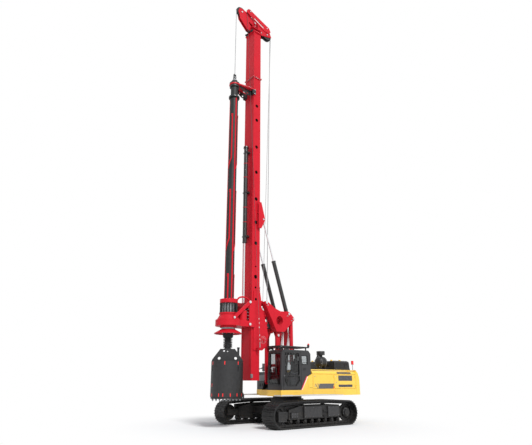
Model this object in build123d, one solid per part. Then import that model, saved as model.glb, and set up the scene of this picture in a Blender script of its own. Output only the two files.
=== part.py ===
from build123d import *
import math
import os

# Rotary piling rig, millimetres. +X is ahead, +Y is left (the cab's side), +Z is up.
# Places are written from the middle of the tracks on the ground. origin_x moves the
# finished pieces so that the origin lies under the middle of the whole machine.

# Fits that every piece shares
running_gap = 0.5        # between faces that slide or turn on each other
clearance = 10           # between panels and their openings
plate = 20               # structural plate

# Tracks
track_centre_y = 1800
shoe_width = 800
shoe_plate = 40
grouser_height = 30
shoe_count = 52
chain_width = 260
chain_height = 105
track_end_radius = 540
track_wheel_x = 2130
carrier_x = 900
carrier_rise = 60

# Track frames and the wheels on them
frame_width = 440
frame_bottom_z = 360
frame_top_z = 900
web_half_width = 60
web_crown_z = 940
web_end_z = 890
frame_front_x = 1640
frame_rear_x = -1600
roller_radius = 105
roller_length = 300
roller_count = 8
roller_pitch = 430
idler_width = 180
axle_radius = 70
sprocket_width = 90
final_drive_radius = 270
final_drive_length = 420
drive_axle_radius = 165

# Carbody and slewing ring
slew_x = -100
ring_radius = 790
ring_bottom_z = 1000
ring_top_z = 1290
ring_split_z = 1150
carbody_half_length = 820
carbody_half_width = 900
carbody_bottom_z = 480
leg_width = 420

# Upper deck
body_half_width = 1477
cab_front_x = 1593
deck_centre_front_x = 1180
right_front_x = 620
tail_x = -3905
deck_bottom_z = 1290
deck_top_z = 1500
skirt_top_z = 1550
skirt_thickness = 60
recess_half_width = 560
cab_inner_y = 520

# Bodywork behind the cab
house_front_x = -400
house_split_x = -1920
house_rear_x = -3550
house_top_z = 2480
house_wall = 40
shoulder_radius = 140
door_bottom_z = 1600
door_top_z = 2260
door_post = 60
tail_top_x = -3770
beacon_foot_z = 2434.5
beacon_inset = 237

# Cab
cab_rear_x = -300
cab_bottom_z = 1550
cab_top_z = 3320
cab_wall = 50
cab_door_rear_x = 340
cab_door_front_x = 1450
cab_door_bottom_z = 1600
cab_door_top_z = 3230
glass_thickness = 8
pillar = 95
sill_z = 2210
guard_z = 3440
guard_bar = 50
console_width = 120
console_wall_gap = 68.5

# Boom linkage, seen from the side as (x, z) places
boom_foot = (850, 1900)
boom_head = (850, 4050)
link_head = (-60, 4900)
boom_width = 220
boom_y = (345, 445)
link_y = (345, 445)
link_width = 110
pin_radius = 50
luff_foot = (290, 1850)
luff_eye = (-130, 4600)
luff_barrel_radius = 85
luff_rod_radius = 45
luff_y = 225
link_web_half = 130
link_web_low = 2850

# Triangle that carries the mast
mast_pivot = (1710, 5540)
pivot_radius = 65
mast_cylinder_foot = (230, 5120)
triangle_y = (300, 600)
triangle_hole = (870, 4740)
triangle_hole_radius = 235
triangle_tube = (1000, 4960)
triangle_tube_radius = 90
triangle_low_front = (1060, 4200)
triangle_low_rear = (560, 4220)

# Mast
mast_rear_x = 1940
mast_front_x = 2455
mast_half_width = 350
mast_foot_z = 1960
mast_joint_z = 7620
mast_upper_joint_z = 18320
mast_flange_reach = 65
mast_top_z = 21560
mast_wall = 18
rail_width = 60
rail_height = 40
mast_hole_radius = 95
mast_hole_z = (6780, 8500, 9610, 10890, 12420, 13920, 15580, 16490)
cylinder_eye = (1800, 9820)
mast_barrel_radius = 100
mast_barrel_length = 2750
mast_rod_radius = 45
mast_cylinder_y = 425
eye_play = 18

# Lower mast bracket with the main winch
winch_centre = (1300, 4510)
drum_radius = 130
drum_flange_radius = 170
drum_shaft_radius = 55
drum_half_length = 245
winch_arm_y = (262, 290)
aux_winch_centre = (1740, 3790)
aux_drum_radius = 140
aux_flange_radius = 185
aux_drum_half_length = 300
bracket_y = 385
rope_anchor_y = 650
rope_anchor_z = 3400

# Crowd cylinder on the mast's front
crowd_x = 2640
crowd_barrel_radius = 110
crowd_barrel_z = (8500, 13900)
crowd_rod_radius = 50
crowd_eye_z = 5480
crowd_cap = 100
crowd_reach = 2600
clamp_gap = 0.3

# Kelly bar and what turns it
kelly_x = 3510
kelly_radius = 215
kelly_key = 20
kelly_key_width = 64
kelly_key_angles = (36.8, 84.8)
kelly_key_runs = ((12890, 15530), (8510, 11120), (None, 6770))
kelly_slant_drop = 600
kelly_slant_steps = 4
key_stop_height = 150
key_slant_margin = 12
kelly_bore_radius = 175
kelly_bottom_z = 3840
kelly_ring_radius = 295
kelly_ring_z = 16580
guide_ring_height = 790
kelly_ring_height = 90
neck_radius = 200
swivel_radius = 80
swivel_top_z = 18150
inner_kelly_radius = 140
stub_half = 100
ring_count = 6
ring_radius_inner = 198
tool_pin_radius = 30
tool_pin_z = 3210
eye_radius = 30

# Rotary head
housing_radius = 600
housing_z = (4330, 4600)
cone_top_z = 4790
carriage_half_width = 490
carriage_rear_x = 2345
carriage_front_x = 2660
carriage_z = (4330, 5560)
sleeve_radius = 290
sleeve_bore_radius = 245
cage_radius = 440
cage_z = (4870, 5380)
cage_rod_radius = 24
cage_rod_count = 18
dish_radius = 640
dish_z = 3990

# Drilling bucket
bucket_radius = 715
bucket_wall = 30
bucket_top_z = 2780
bucket_box_top = 3330
bucket_bottom_z = 1280
bucket_door_z = 1210
teeth_bottom_z = 1110

# Mast head
head_pin = (3170, 22700)
front_sheave_radius = 345
rear_pin = (1280, 22030)
rear_sheave_radius = 360
sheave_width = 90
aux_head_pin = (2620, 22990)
aux_sheave_radius = 190
aux_sheave_y = 122
rear_aux_sheave_y = 102
aux_sheave_width = 44
head_plate_y = (60, 95)
aux_beam_y = (150, 190)
head_flange_half = 300
rear_arm_y = (128, 150)

origin_x = (kelly_x + bucket_radius + tail_x) / 2


def block(x, y, z):
    """Box between a low and a high value on each axis."""
    middle = [(low + high) / 2 for low, high in (x, y, z)]
    return Pos(*middle) * Box(x[1] - x[0], y[1] - y[0], z[1] - z[0])


def side_plate(points, y):
    """Plate with an outline of (x, z) points between two y values."""
    outline = Polyline(*[(px, y[0], pz) for px, pz in points], close=True)
    return extrude(make_face(outline), amount=y[1] - y[0], dir=(0, 1, 0))


def plan_plate(points, z):
    """Plate with an outline of (x, y) points between two z values."""
    outline = Polyline(*[(px, py, z[0]) for px, py in points], close=True)
    return extrude(make_face(outline), amount=z[1] - z[0], dir=(0, 0, 1))


def cross_plate(points, x):
    """Plate with an outline of (y, z) points between two x values."""
    outline = Polyline(*[(x[0], py, pz) for py, pz in points], close=True)
    return extrude(make_face(outline), amount=x[1] - x[0], dir=(1, 0, 0))


def bar(start, end, radius):
    """Round bar between two points."""
    run = Vector(*end) - Vector(*start)
    return Plane(origin=start, z_dir=run) * Cylinder(
        radius, run.length, align=(Align.CENTER, Align.CENTER, Align.MIN))


def pin_y(place, radius, y):
    """Round pin along Y at an (x, z) place."""
    return bar((place[0], y[0], place[1]), (place[0], y[1], place[1]), radius)


def upright(x, y, radius, z):
    """Round bar along Z."""
    return bar((x, y, z[0]), (x, y, z[1]), radius)


def along(start, end, distance):
    """(x, z) place at a distance from start towards end."""
    share = distance / math.dist(start, end)
    return (start[0] + (end[0] - start[0]) * share, start[1] + (end[1] - start[1]) * share)


def capsule(start, end, radius, y):
    """Straight arm with round ends, seen from the side, between two y values."""
    run = math.dist(start, end)
    across = ((end[1] - start[1]) * radius / run, -(end[0] - start[0]) * radius / run)
    corners = [(start[0] + across[0], start[1] + across[1]), (end[0] + across[0], end[1] + across[1]),
               (end[0] - across[0], end[1] - across[1]), (start[0] - across[0], start[1] - across[1])]
    return side_plate(corners, y) + pin_y(start, radius, y) + pin_y(end, radius, y)


def mirrored(solid):
    """The same solid on the other side of the machine."""
    return mirror(solid, about=Plane.XZ)


def both_sides(solids):
    return list(solids) + [mirrored(solid) for solid in solids]


nodes = {}


def keep(name, *solids):
    """Store the solids of one node."""
    nodes[name] = list(solids)


# Tracks: one loop each, shoes outside and links inside
rim_radius = track_end_radius - shoe_plate - grouser_height
# The web of a track frame ends short of the wheels
web_half_length = track_wheel_x - (rim_radius - chain_height) - clearance * 2


def track_path():
    """Straight runs and arcs of the line under the shoes, as (kind, data, length), from the bottom's middle."""
    foot_z = track_end_radius - rim_radius
    rise_z = track_end_radius + rim_radius + carrier_rise
    run = (carrier_x - track_wheel_x, rise_z - track_end_radius)
    reach = math.hypot(*run)
    leave = math.atan2(run[1], run[0]) - math.acos(rim_radius / reach)
    touch = (track_wheel_x + rim_radius * math.cos(leave), track_end_radius + rim_radius * math.sin(leave))
    front = [("line", (0, foot_z), (track_wheel_x, foot_z)),
             ("arc", -math.pi / 2, leave),
             ("line", touch, (carrier_x, rise_z)),
             ("line", (carrier_x, rise_z), (0, rise_z))]
    return front


def track_point(distance, offset):
    """Place at a distance along the front half of the loop, moved outwards by offset."""
    for kind, first, last in track_path():
        length = math.dist(first, last) if kind == "line" else (last - first) * rim_radius
        if distance <= length or (kind == "line" and last[0] == 0):
            break
        distance -= length
    if kind == "arc":
        angle = first + distance / rim_radius
        reach = rim_radius + offset
        return (track_wheel_x + reach * math.cos(angle), track_end_radius + reach * math.sin(angle))
    share = distance / length
    ahead = ((last[0] - first[0]) / length, (last[1] - first[1]) / length)
    return (first[0] + (last[0] - first[0]) * share + ahead[1] * offset,
            first[1] + (last[1] - first[1]) * share - ahead[0] * offset)


def half_loop_length():
    total = 0
    for kind, first, last in track_path():
        total += math.dist(first, last) if kind == "line" else (last - first) * rim_radius
    return total


def loop_outline(marks):
    """Closed outline from marks of (share of a shoe's pitch, offset), repeated round the loop."""
    half = half_loop_length()
    pitch = 2 * half / shoe_count
    points = []
    for shoe in range(shoe_count):
        for share, offset in marks:
            distance = (shoe + share) * pitch
            if distance <= half:
                points.append(track_point(distance, offset))
            else:
                x, z = track_point(2 * half - distance, offset)
                points.append((-x, z))
    return points


def ring_plate(outer, inner, y):
    return side_plate(outer, y) - side_plate(inner, (y[0] - 1, y[1] + 1))


def make_tracks():
    tip = shoe_plate + grouser_height
    outer_marks = [(0.0, shoe_plate / 3), (0.04, shoe_plate), (0.2, shoe_plate), (0.24, tip), (0.29, tip),
                   (0.33, shoe_plate), (0.67, shoe_plate), (0.71, tip), (0.76, tip), (0.8, shoe_plate),
                   (0.96, shoe_plate)]
    shoes = ring_plate(loop_outline(outer_marks), loop_outline([(0.0, 0)]), half_span(track_centre_y, shoe_width))
    chain = ring_plate(loop_outline([(0.0, shoe_plate / 4)]),
                       loop_outline([(0.0, -chain_height)]), half_span(track_centre_y, chain_width))
    left = shoes + chain
    keep("track_left", left)
    keep("track_right", mirrored(left))


def half_span(middle, width):
    return (middle - width / 2, middle + width / 2)


step_angle = half_loop_length() * 2 / shoe_count / rim_radius
wheel_radius = (rim_radius - chain_height) * math.cos(step_angle / 2) - running_gap


def wheel(x, width, bore):
    """Track wheel with a rim wider than its web."""
    rim = pin_y((x, track_end_radius), wheel_radius, half_span(track_centre_y, width))
    for side in (-1, 1):
        face = track_centre_y + side * width / 2
        pocket = pin_y((x, track_end_radius), wheel_radius * 0.8, (face - width / 4, face + width / 4))
        rim -= pocket - pin_y((x, track_end_radius), wheel_radius * 0.6, (face - width, face + width))
    return rim - pin_y((x, track_end_radius), bore + running_gap, (track_centre_y - width, track_centre_y + width))


def make_track_wheels():
    idler = wheel(track_wheel_x, idler_width, axle_radius)
    sprocket = wheel(-track_wheel_x, sprocket_width, drive_axle_radius)
    keep("idlers", *both_sides([idler]))
    keep("sprockets", *both_sides([sprocket]))


def make_track_frames():
    inner_y, outer_y = half_span(track_centre_y, frame_width)
    shell = side_plate([(frame_rear_x, frame_bottom_z + 60), (frame_rear_x + 300, frame_bottom_z),
                        (frame_front_x, frame_bottom_z), (frame_front_x, frame_top_z - 140),
                        (frame_front_x - 420, frame_top_z - 60), (1000, frame_top_z), (-1000, frame_top_z),
                        (frame_rear_x, frame_top_z - 100)], (inner_y, outer_y))
    # Panels on the outer face: x from, x to, z from, z to, how far they stand out
    for x0, x1, z0, z1, proud in ((-320, 800, 400, 880, 70), (-1480, -720, 400, 860, 60), (1130, 1560, 420, 650, 55)):
        shell += block((x0, x1), (outer_y - 5, outer_y + proud), (z0, z1))
    shell += side_plate([(-web_half_length, frame_bottom_z + 40), (web_half_length, frame_bottom_z + 40),
                         (web_half_length, web_end_z), (web_half_length / 2, web_crown_z),
                         (-web_half_length / 2, web_crown_z), (-web_half_length, web_end_z)],
                        half_span(track_centre_y, web_half_width * 2))
    for side in (-1, 1):
        fork_y = track_centre_y + side * (idler_width / 2 + 55)
        shell += block((frame_front_x - 60, track_wheel_x + 150), half_span(fork_y, 80),
                       (track_end_radius - 130, track_end_radius + 130))
    shell += pin_y((track_wheel_x, track_end_radius), axle_radius,
                   (track_centre_y - idler_width, track_centre_y + idler_width))
    # Tensioner cover ahead of the fork
    shell += block((1840, 2300), (track_centre_y + 120, track_centre_y + 290), (300, 700))
    drive_y = (track_centre_y - final_drive_length / 2 - 60, track_centre_y + final_drive_length / 2)
    shell += block((frame_rear_x - 420, frame_rear_x + 20), (drive_y[0], track_centre_y - sprocket_width / 2 - 20),
                   (track_end_radius - 200, track_end_radius + 170))
    shell += pin_y((-track_wheel_x, track_end_radius), drive_axle_radius, drive_y)
    shell += pin_y((-track_wheel_x, track_end_radius), final_drive_radius,
                   (track_centre_y - final_drive_length / 2 - 60, track_centre_y - sprocket_width / 2 - 15))
    shell += pin_y((-track_wheel_x, track_end_radius), final_drive_radius * 0.8,
                   (track_centre_y + sprocket_width / 2 + 15, track_centre_y + sprocket_width / 2 + 75))
    roller_z = shoe_plate + grouser_height + chain_height + roller_radius + running_gap
    for index in range(roller_count):
        x = (index - (roller_count - 1) / 2) * roller_pitch
        shell += pin_y((x, roller_z), roller_radius, half_span(track_centre_y, roller_length))
        shell += block((x - 60, x + 60), half_span(track_centre_y + roller_length / 2 + 20, 50),
                       (roller_z - 45, frame_bottom_z + 40))
    # Rock guard along the inner ends of the rollers
    guard_reach = (roller_count - 1) / 2 * roller_pitch + 60
    shell += block((-guard_reach, guard_reach), half_span(track_centre_y - roller_length / 2 - 20, 50),
                   (roller_z - 45, frame_bottom_z + 40))
    carrier_z = (track_end_radius + rim_radius + carrier_rise) - chain_height - 70 - running_gap
    for x in (-carrier_x * 0.75, carrier_x * 0.75):
        shell += pin_y((x, carrier_z), 70, half_span(track_centre_y, 200))
        shell += block((x - 45, x + 45), half_span(track_centre_y, 60), (frame_top_z - 10, carrier_z))
    keep("track_frame_left", shell)
    keep("track_frame_right", mirrored(shell))


def make_carbody():
    inner_y = track_centre_y - frame_width / 2
    body = block((slew_x - carbody_half_length, slew_x + carbody_half_length),
                 (-carbody_half_width, carbody_half_width), (carbody_bottom_z, 860))
    body = chamfer(body.edges().filter_by(Axis.Z), 260)
    for side in (-1, 1):
        for end in (-1, 1):
            middle_x = slew_x + end * 700
            leg = cross_plate([(side * 500, carbody_bottom_z + 40), (side * inner_y, frame_bottom_z + 60),
                               (side * inner_y, frame_top_z - 140), (side * 500, 850)],
                              half_span(middle_x, leg_width))
            body += leg
    body += upright(slew_x, 0, ring_radius - 60, (850, ring_bottom_z + 20))
    body += upright(slew_x, 0, ring_radius, (ring_bottom_z, ring_split_z - running_gap))
    keep("carbody", body)


def make_slew_ring():
    keep("slew_ring", upright(slew_x, 0, ring_radius - 90, (ring_split_z, ring_top_z)))


# Corners of the deck: x, y, and which way along Y is inwards there
deck_corners = [(cab_front_x, body_half_width, -1), (cab_front_x, cab_inner_y, 1),
                (deck_centre_front_x, cab_inner_y, 1), (deck_centre_front_x, -recess_half_width, 1),
                (right_front_x, -recess_half_width, 1), (right_front_x, -body_half_width, 1),
                (house_rear_x, -body_half_width, 1), (house_rear_x, body_half_width, -1)]


def deck_outline(inwards=0):
    """Outline of the deck, moved inwards apart from its rear edge."""
    return [(x if x == house_rear_x else x - inwards, y + side * inwards) for x, y, side in deck_corners]


def make_deck():
    """Turntable frame with the brackets of the boom, the link and the luffing cylinders."""
    skirt_gap = skirt_thickness + running_gap
    floor = plan_plate(deck_outline(skirt_gap), (deck_bottom_z, deck_top_z))
    for y in boom_bracket_spans():
        floor += side_plate([(boom_foot[0] - 260, deck_top_z - 5), (boom_foot[0] + 260, deck_top_z - 5),
                             (boom_foot[0] + 110, boom_foot[1] + 90), (boom_foot[0] - 110, boom_foot[1] + 90)], y)
    for y in link_bracket_spans():
        floor += side_plate([(link_foot()[0] - 330, deck_top_z - 5), (link_foot()[0] + 230, deck_top_z - 5),
                             (link_foot()[0] + 90, link_foot()[1] + 90), (link_foot()[0] - 90, link_foot()[1] + 90)],
                            y)
    floor += pin_y(boom_foot, pin_radius, (-boom_y[1] - plate * 2, boom_y[1] + plate * 2))
    for y in (-1, 1):
        floor += pin_y(link_foot(), pin_radius, sorted((y * link_y[0], y * (link_y[1] + 50))))
        floor += pin_y(luff_foot, pin_radius, sorted((y * (luff_y - 80), y * (luff_y + 80))))
        for face in (-1, 1):
            ear_y = y * luff_y + face * (ram_head / 2 + running_gap + plate / 2)
            floor += side_plate([(luff_foot[0] - 150, deck_top_z - 5), (luff_foot[0] + 150, deck_top_z - 5),
                                 (luff_foot[0] + 60, luff_foot[1] + 80), (luff_foot[0] - 60, luff_foot[1] + 80)],
                                half_span(ear_y, plate))
    keep("deck", floor)


def link_foot():
    """The rear link is as long and as steep as the boom, so the triangle stays level."""
    return (link_head[0] - boom_head[0] + boom_foot[0], link_head[1] - boom_head[1] + boom_foot[1])


def boom_bracket_spans():
    outer = (boom_y[1] + running_gap, boom_y[1] + running_gap + plate * 2)
    return [outer, (-outer[1], -outer[0])]


def link_bracket_spans():
    outer = (link_y[1] + running_gap, link_y[1] + running_gap + plate * 2)
    return [outer, (-outer[1], -outer[0])]


def make_skirt():
    """Painted edge band round the deck, in front and along both sides."""
    band = plan_plate(deck_outline(), (deck_bottom_z, skirt_top_z))
    hollow = plan_plate(deck_outline(skirt_thickness), (deck_bottom_z - 1, skirt_top_z + 1))
    keep("deck_skirt", band - hollow - block((house_rear_x - 1, house_rear_x + 1), (-1400, 1400), (1000, 2000)))


def make_counterweight():
    outline = [(house_rear_x, deck_bottom_z), (tail_x + 40, deck_bottom_z), (tail_x, deck_bottom_z + 60),
               (tail_x, 1560), (tail_top_x - 20, 2160), (tail_top_x + 60, 2340), (tail_top_x + 190, house_top_z - 20),
               (house_rear_x, house_top_z)]
    weight = side_plate([(x - running_gap, z) if x == house_rear_x else (x, z) for x, z in outline],
                        (-body_half_width, body_half_width))
    tail_corners = weight.edges().filter_by(Axis.Z).group_by(Axis.X)[0]
    weight = fillet(tail_corners, 120)
    keep("counterweight", weight)


def make_house():
    """Bodywork shell over the engine bay, with an opening for each access door."""
    shoulder = house_top_z - shoulder_radius
    outline = [(-body_half_width, skirt_top_z), (-body_half_width, shoulder - 60),
               (-body_half_width + 50, shoulder + 40), (-body_half_width + shoulder_radius + 40, house_top_z),
               (body_half_width - shoulder_radius - 40, house_top_z), (body_half_width - 50, shoulder + 40),
               (body_half_width, shoulder - 60), (body_half_width, skirt_top_z)]
    shell = cross_plate(outline, (house_rear_x, house_front_x))
    shell -= block((house_rear_x - 1, house_front_x - house_wall), (-body_half_width + house_wall + 60,
                   body_half_width - house_wall - 60), (skirt_top_z - 1, house_top_z - house_wall))
    shell -= block((house_rear_x - 1, house_front_x - house_wall), (-body_half_width + house_wall,
                   body_half_width - house_wall), (skirt_top_z - 1, shoulder - 60))
    for x0, x1 in door_spans():
        shell -= block((x0 - clearance, x1 + clearance), (-3000, 3000),
                       (door_bottom_z - clearance, door_top_z + clearance))
    shell += side_plate(panel_outline(), (body_half_width - 30, body_half_width))
    for x0, x1 in door_spans():
        shell += frame_knuckles(x0, body_half_width, 1) + frame_knuckles(x0, -body_half_width, -1)
    keep("house", shell)


def door_spans():
    """Rear and front edge of each access door, on both sides."""
    return [(house_split_x + door_post / 2, house_front_x - door_post),
            (house_rear_x + door_post, house_split_x - door_post / 2)]


hinge_radius = 14
hinge_height = 60
hinge_stand = 16


def hinge_heights():
    return (door_bottom_z + 110, door_top_z - 110)


def door_knuckles(x, y, side):
    """The moving half of the two hinges of an access door."""
    made = None
    for z in hinge_heights():
        knuckle = upright(x - clearance / 2, y + side * hinge_stand, hinge_radius, (z, z + hinge_height))
        leaf = block((x - clearance / 2, x + 60), sorted((y - side * 2, y + side * hinge_stand)),
                     (z, z + hinge_height))
        made = knuckle + leaf if made is None else made + knuckle + leaf
    return made


def frame_knuckles(x, y, side):
    """The fixed half, above the moving one."""
    made = None
    for z in hinge_heights():
        low = z - running_gap - hinge_height
        knuckle = upright(x - clearance / 2, y + side * hinge_stand, hinge_radius, (low, z - running_gap))
        leaf = block((x - 60, x - clearance / 2), sorted((y - side * 2, y + side * hinge_stand)),
                     (low, z - running_gap))
        made = knuckle + leaf if made is None else made + knuckle + leaf
    return made


def make_house_doors():
    names = ("front", "rear")
    for name, (x0, x1) in zip(names, door_spans()):
        for side, place in ((1, "left"), (-1, "right")):
            y = side * body_half_width
            door = block((x0, x1), sorted((y, y - side * house_wall)), (door_bottom_z, door_top_z))
            door += door_knuckles(x0, y, side)
            keep("access_door_" + name + "_" + place, door)


def make_engine():
    keep("engine", block((-3350, -2050), (-600, 600), (deck_top_z, 2250)))


hood_y = (-950, 1040)
hood_front_x = -2440
hood_top_z = 2930
hood_chamfer = 70
air_drum_place = (-2215, 600, 2860)
air_drum_length = 580
air_drum_radius = 250


def make_engine_hood():
    """Black cover that stands out of the bodywork over the engine, its upper edges cut off."""
    side_outline = [(hood_front_x, house_top_z), (hood_front_x, hood_top_z - hood_chamfer),
                    (hood_front_x - hood_chamfer, hood_top_z), (-3480, hood_top_z), (-3580, hood_top_z - 110),
                    (-3620, house_top_z)]
    cross_outline = [(hood_y[0], house_top_z), (hood_y[0], hood_top_z - hood_chamfer),
                     (hood_y[0] + hood_chamfer, hood_top_z), (hood_y[1] - hood_chamfer, hood_top_z),
                     (hood_y[1], hood_top_z - hood_chamfer), (hood_y[1], house_top_z)]
    keep("engine_hood", side_plate(side_outline, hood_y) & cross_plate(cross_outline, (-3700, -2400)))


def make_air_cleaner():
    """Drum with domed ends lying along the machine, its rain cap on a neck, on two feet."""
    dome = [(0, 0), (120, 0), (air_drum_radius - 25, 70), (air_drum_radius, 130),
            (air_drum_radius, air_drum_length - 130), (air_drum_radius - 25, air_drum_length - 70),
            (120, air_drum_length), (0, air_drum_length)]
    face = make_face(Polyline(*[(air_drum_place[0] + along_x, air_drum_place[1], air_drum_place[2] + radius)
                                for radius, along_x in dome], close=True))
    drum = revolve(face, axis=Axis(air_drum_place, (1, 0, 0)))
    middle_x = air_drum_place[0] + air_drum_length / 2
    drum += upright(middle_x, air_drum_place[1], 90, (air_drum_place[2], 3230))
    drum += upright(middle_x, air_drum_place[1], 210, (3215, 3400))
    for x in (middle_x - 180, middle_x + 120):
        drum += block((x, x + 60), (air_drum_place[1] - 150, air_drum_place[1] + 150),
                      (house_top_z, air_drum_place[2] - 150))
    keep("air_cleaner", drum)


def cab_profile(gap=0):
    """Side outline of the cab: upright front, rounded roof corners."""
    return [(cab_rear_x + gap, cab_bottom_z + gap), (cab_front_x - 40 - gap, cab_bottom_z + gap),
            (cab_front_x - gap, 2100), (cab_front_x - 60 - gap, cab_top_z - 120), (cab_front_x - 160, cab_top_z - gap),
            (cab_rear_x + 140, cab_top_z - gap), (cab_rear_x + gap, cab_top_z - 150)]


cab_y = (cab_inner_y, body_half_width)


def panel_outline():
    """Front end of the left body panel, which laps over the cab's lower rear corner."""
    return [(house_front_x, skirt_top_z), (330, skirt_top_z), (-70, 2140), (-370, 2260), (house_front_x, 2300)]


def make_cab():
    shell = side_plate(cab_profile(), cab_y)
    shell -= side_plate(cab_profile(cab_wall), (cab_y[0] + cab_wall, cab_y[1] - cab_wall))
    # Door opening
    shell -= block((cab_door_rear_x - clearance, cab_door_front_x + clearance), (cab_y[1] - 100, cab_y[1] + 50),
                   (cab_door_bottom_z - clearance, cab_door_top_z + clearance))
    # Rear side window, right window, front screen, rear window and roof window
    shell -= block((-70, 290), (cab_y[1] - 100, cab_y[1] + 50), (2700, 3060))
    shell -= block((cab_rear_x + 160, cab_front_x - 200), (cab_y[0] - 50, cab_y[0] + 100), (sill_z, 3150))
    shell -= block((cab_front_x - 180, cab_front_x + 50), (cab_y[0] + pillar, cab_y[1] - pillar), (1800, 3140))
    shell -= block((cab_rear_x - 50, cab_rear_x + 100), (cab_y[0] + pillar, cab_y[1] - pillar), (2560, 3100))
    # Step for the body panel that laps over the corner
    lap = [(x + (15 if x > house_front_x else -200), z + 15) for x, z in panel_outline()]
    lap[0:2] = [(lap[0][0], skirt_top_z - 200), (lap[1][0], skirt_top_z - 200), (lap[1][0], skirt_top_z)]
    shell -= side_plate(lap, (body_half_width - 30 - running_gap, body_half_width + 50))
    for z in cab_hinge_heights():
        shell += upright(cab_hinge()[0], cab_hinge()[1], hinge_radius, (z - running_gap - 80, z - running_gap))
        shell += block((cab_hinge()[0] - 60, cab_hinge()[0]), (body_half_width - 2, cab_hinge()[1]),
                       (z - running_gap - 80, z - running_gap))
    keep("cab", shell)


def cab_hinge():
    return (cab_door_rear_x - clearance / 2, body_half_width + hinge_stand)


def cab_hinge_heights():
    return (1900, 2900)


def make_cab_door():
    y = (body_half_width - cab_wall, body_half_width)
    door = block((cab_door_rear_x, cab_door_front_x), y, (cab_door_bottom_z, cab_door_top_z))
    door -= side_plate(upper_pane(), (y[0] - 1, y[1] + 1))
    door -= side_plate(lower_pane(), (y[0] - 1, y[1] + 1))
    for z in cab_hinge_heights():
        door += upright(cab_hinge()[0], cab_hinge()[1], hinge_radius, (z, z + 80))
        door += block((cab_hinge()[0], cab_door_rear_x + 60), (body_half_width - 2, cab_hinge()[1]), (z, z + 80))
    keep("cab_door", door)
    middle = (y[0] + y[1]) / 2
    keep("cab_door_glass", side_plate(upper_pane(), half_span(middle, glass_thickness)),
         side_plate(lower_pane(), half_span(middle, glass_thickness)))


def upper_pane():
    return [(460, sill_z + 60), (520, sill_z), (1330, sill_z), (1340, 3160), (460, 3160)]


def lower_pane():
    return [(460, sill_z - 60), (460, 1950), (660, 1740), (1200, 1740), (1330, 1950), (1330, sill_z - 60)]


def make_cab_glass():
    rear_side = block((-70, 290), half_span(cab_y[1] - cab_wall / 2, glass_thickness), (2700, 3060))
    right = block((cab_rear_x + 160, cab_front_x - 200), half_span(cab_y[0] + cab_wall / 2, glass_thickness),
                  (sill_z, 3150))
    front_x = cab_front_x - cab_wall / 2
    slope = [(front_x - 19, 1800), (front_x, 2100), (front_x - 58, 3140)]
    screen = side_plate(slope + [(x - glass_thickness, z) for x, z in reversed(slope)],
                        (cab_y[0] + pillar, cab_y[1] - pillar))
    rear = block(half_span(cab_rear_x + cab_wall / 2, glass_thickness), (cab_y[0] + pillar, cab_y[1] - pillar),
                 (2560, 3100))
    keep("cab_glass", rear_side, right, screen, rear)


def make_cab_seat():
    middle = (cab_y[0] + cab_y[1]) / 2
    console_out = (cab_y[1] - cab_y[0]) / 2 - cab_wall - console_wall_gap
    console_in = console_out - console_width
    seat_half = console_in - clearance
    seat = block((250, 700), (middle - seat_half, middle + seat_half), (2050, 2190))
    seat += side_plate([(200, 2100), (330, 2100), (260, 2850), (150, 2850)],
                       (middle - seat_half + 20, middle + seat_half - 20))
    seat += block((330, 620), (middle - seat_half + 80, middle + seat_half - 80), (cab_bottom_z + cab_wall, 2060))
    for side in (-1, 1):
        seat += block((420, 900), sorted((middle + side * console_in, middle + side * console_out)),
                      (cab_bottom_z + cab_wall, 2330))
    seat += block((400, 440), (middle - console_out + 10, middle + console_out - 10), (2060, 2100))
    keep("cab_seat", seat)


def make_cab_guard():
    guard = None
    for y in (cab_y[0] + 60, cab_y[1] - 60):
        rail = block((cab_rear_x + 40, cab_front_x + 40), half_span(y, guard_bar), (guard_z, guard_z + guard_bar))
        guard = rail if guard is None else guard + rail
    for x in (cab_rear_x + 70, 300, 900, cab_front_x + 10):
        guard += block(half_span(x, guard_bar), (cab_y[0] + 60, cab_y[1] - 60), (guard_z, guard_z + guard_bar))
    for x in (cab_rear_x + 250, cab_front_x - 300):
        for y in (cab_y[0] + 60, cab_y[1] - 60):
            guard += block(half_span(x, 45), half_span(y, 45), (cab_top_z, guard_z + 10))
    guard += block((cab_rear_x + 30, cab_rear_x + 110), (cab_y[1] - 100, cab_y[1] - 20), (guard_z + 40, guard_z + 150))
    keep("cab_guard", guard)


def make_side_box():
    """Right front box with the tank and tool locker."""
    outline = [(right_front_x - 20, skirt_top_z), (right_front_x - 20, 2250), (right_front_x - 100, 2380),
               (house_front_x + clearance, 2380), (house_front_x + clearance, skirt_top_z)]
    keep("side_box", side_plate(outline, (-body_half_width, -recess_half_width - 60)))


def make_mirror():
    stalk = upright(390, -1200, 18, (2380, 2760))
    head = block((340, 400), (-1320, -1080), (2420, 2790))
    keep("mirror", stalk + head)


def make_beacon():
    stalk = upright(-3620, body_half_width - beacon_inset, 12, (beacon_foot_z, 2770))
    lamp = upright(-3620, body_half_width - beacon_inset, 65, (2760, 2950))
    keep("beacon", stalk + lamp)


def make_boom():
    boom = None
    for side in (-1, 1):
        y = sorted((side * boom_y[0], side * boom_y[1]))
        arm = capsule(boom_foot, boom_head, boom_width / 2, y)
        arm -= pin_y(boom_foot, pin_radius + running_gap, (-1000, 1000))
        arm -= pin_y(boom_head, pin_radius + running_gap, (-1000, 1000))
        boom = arm if boom is None else boom + arm
    for share in (0.35, 0.75):
        place = along(boom_foot, boom_head, share * math.dist(boom_foot, boom_head))
        boom += pin_y(place, 70, (-boom_y[0] - 10, boom_y[0] + 10))
    keep("boom", boom)


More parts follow.
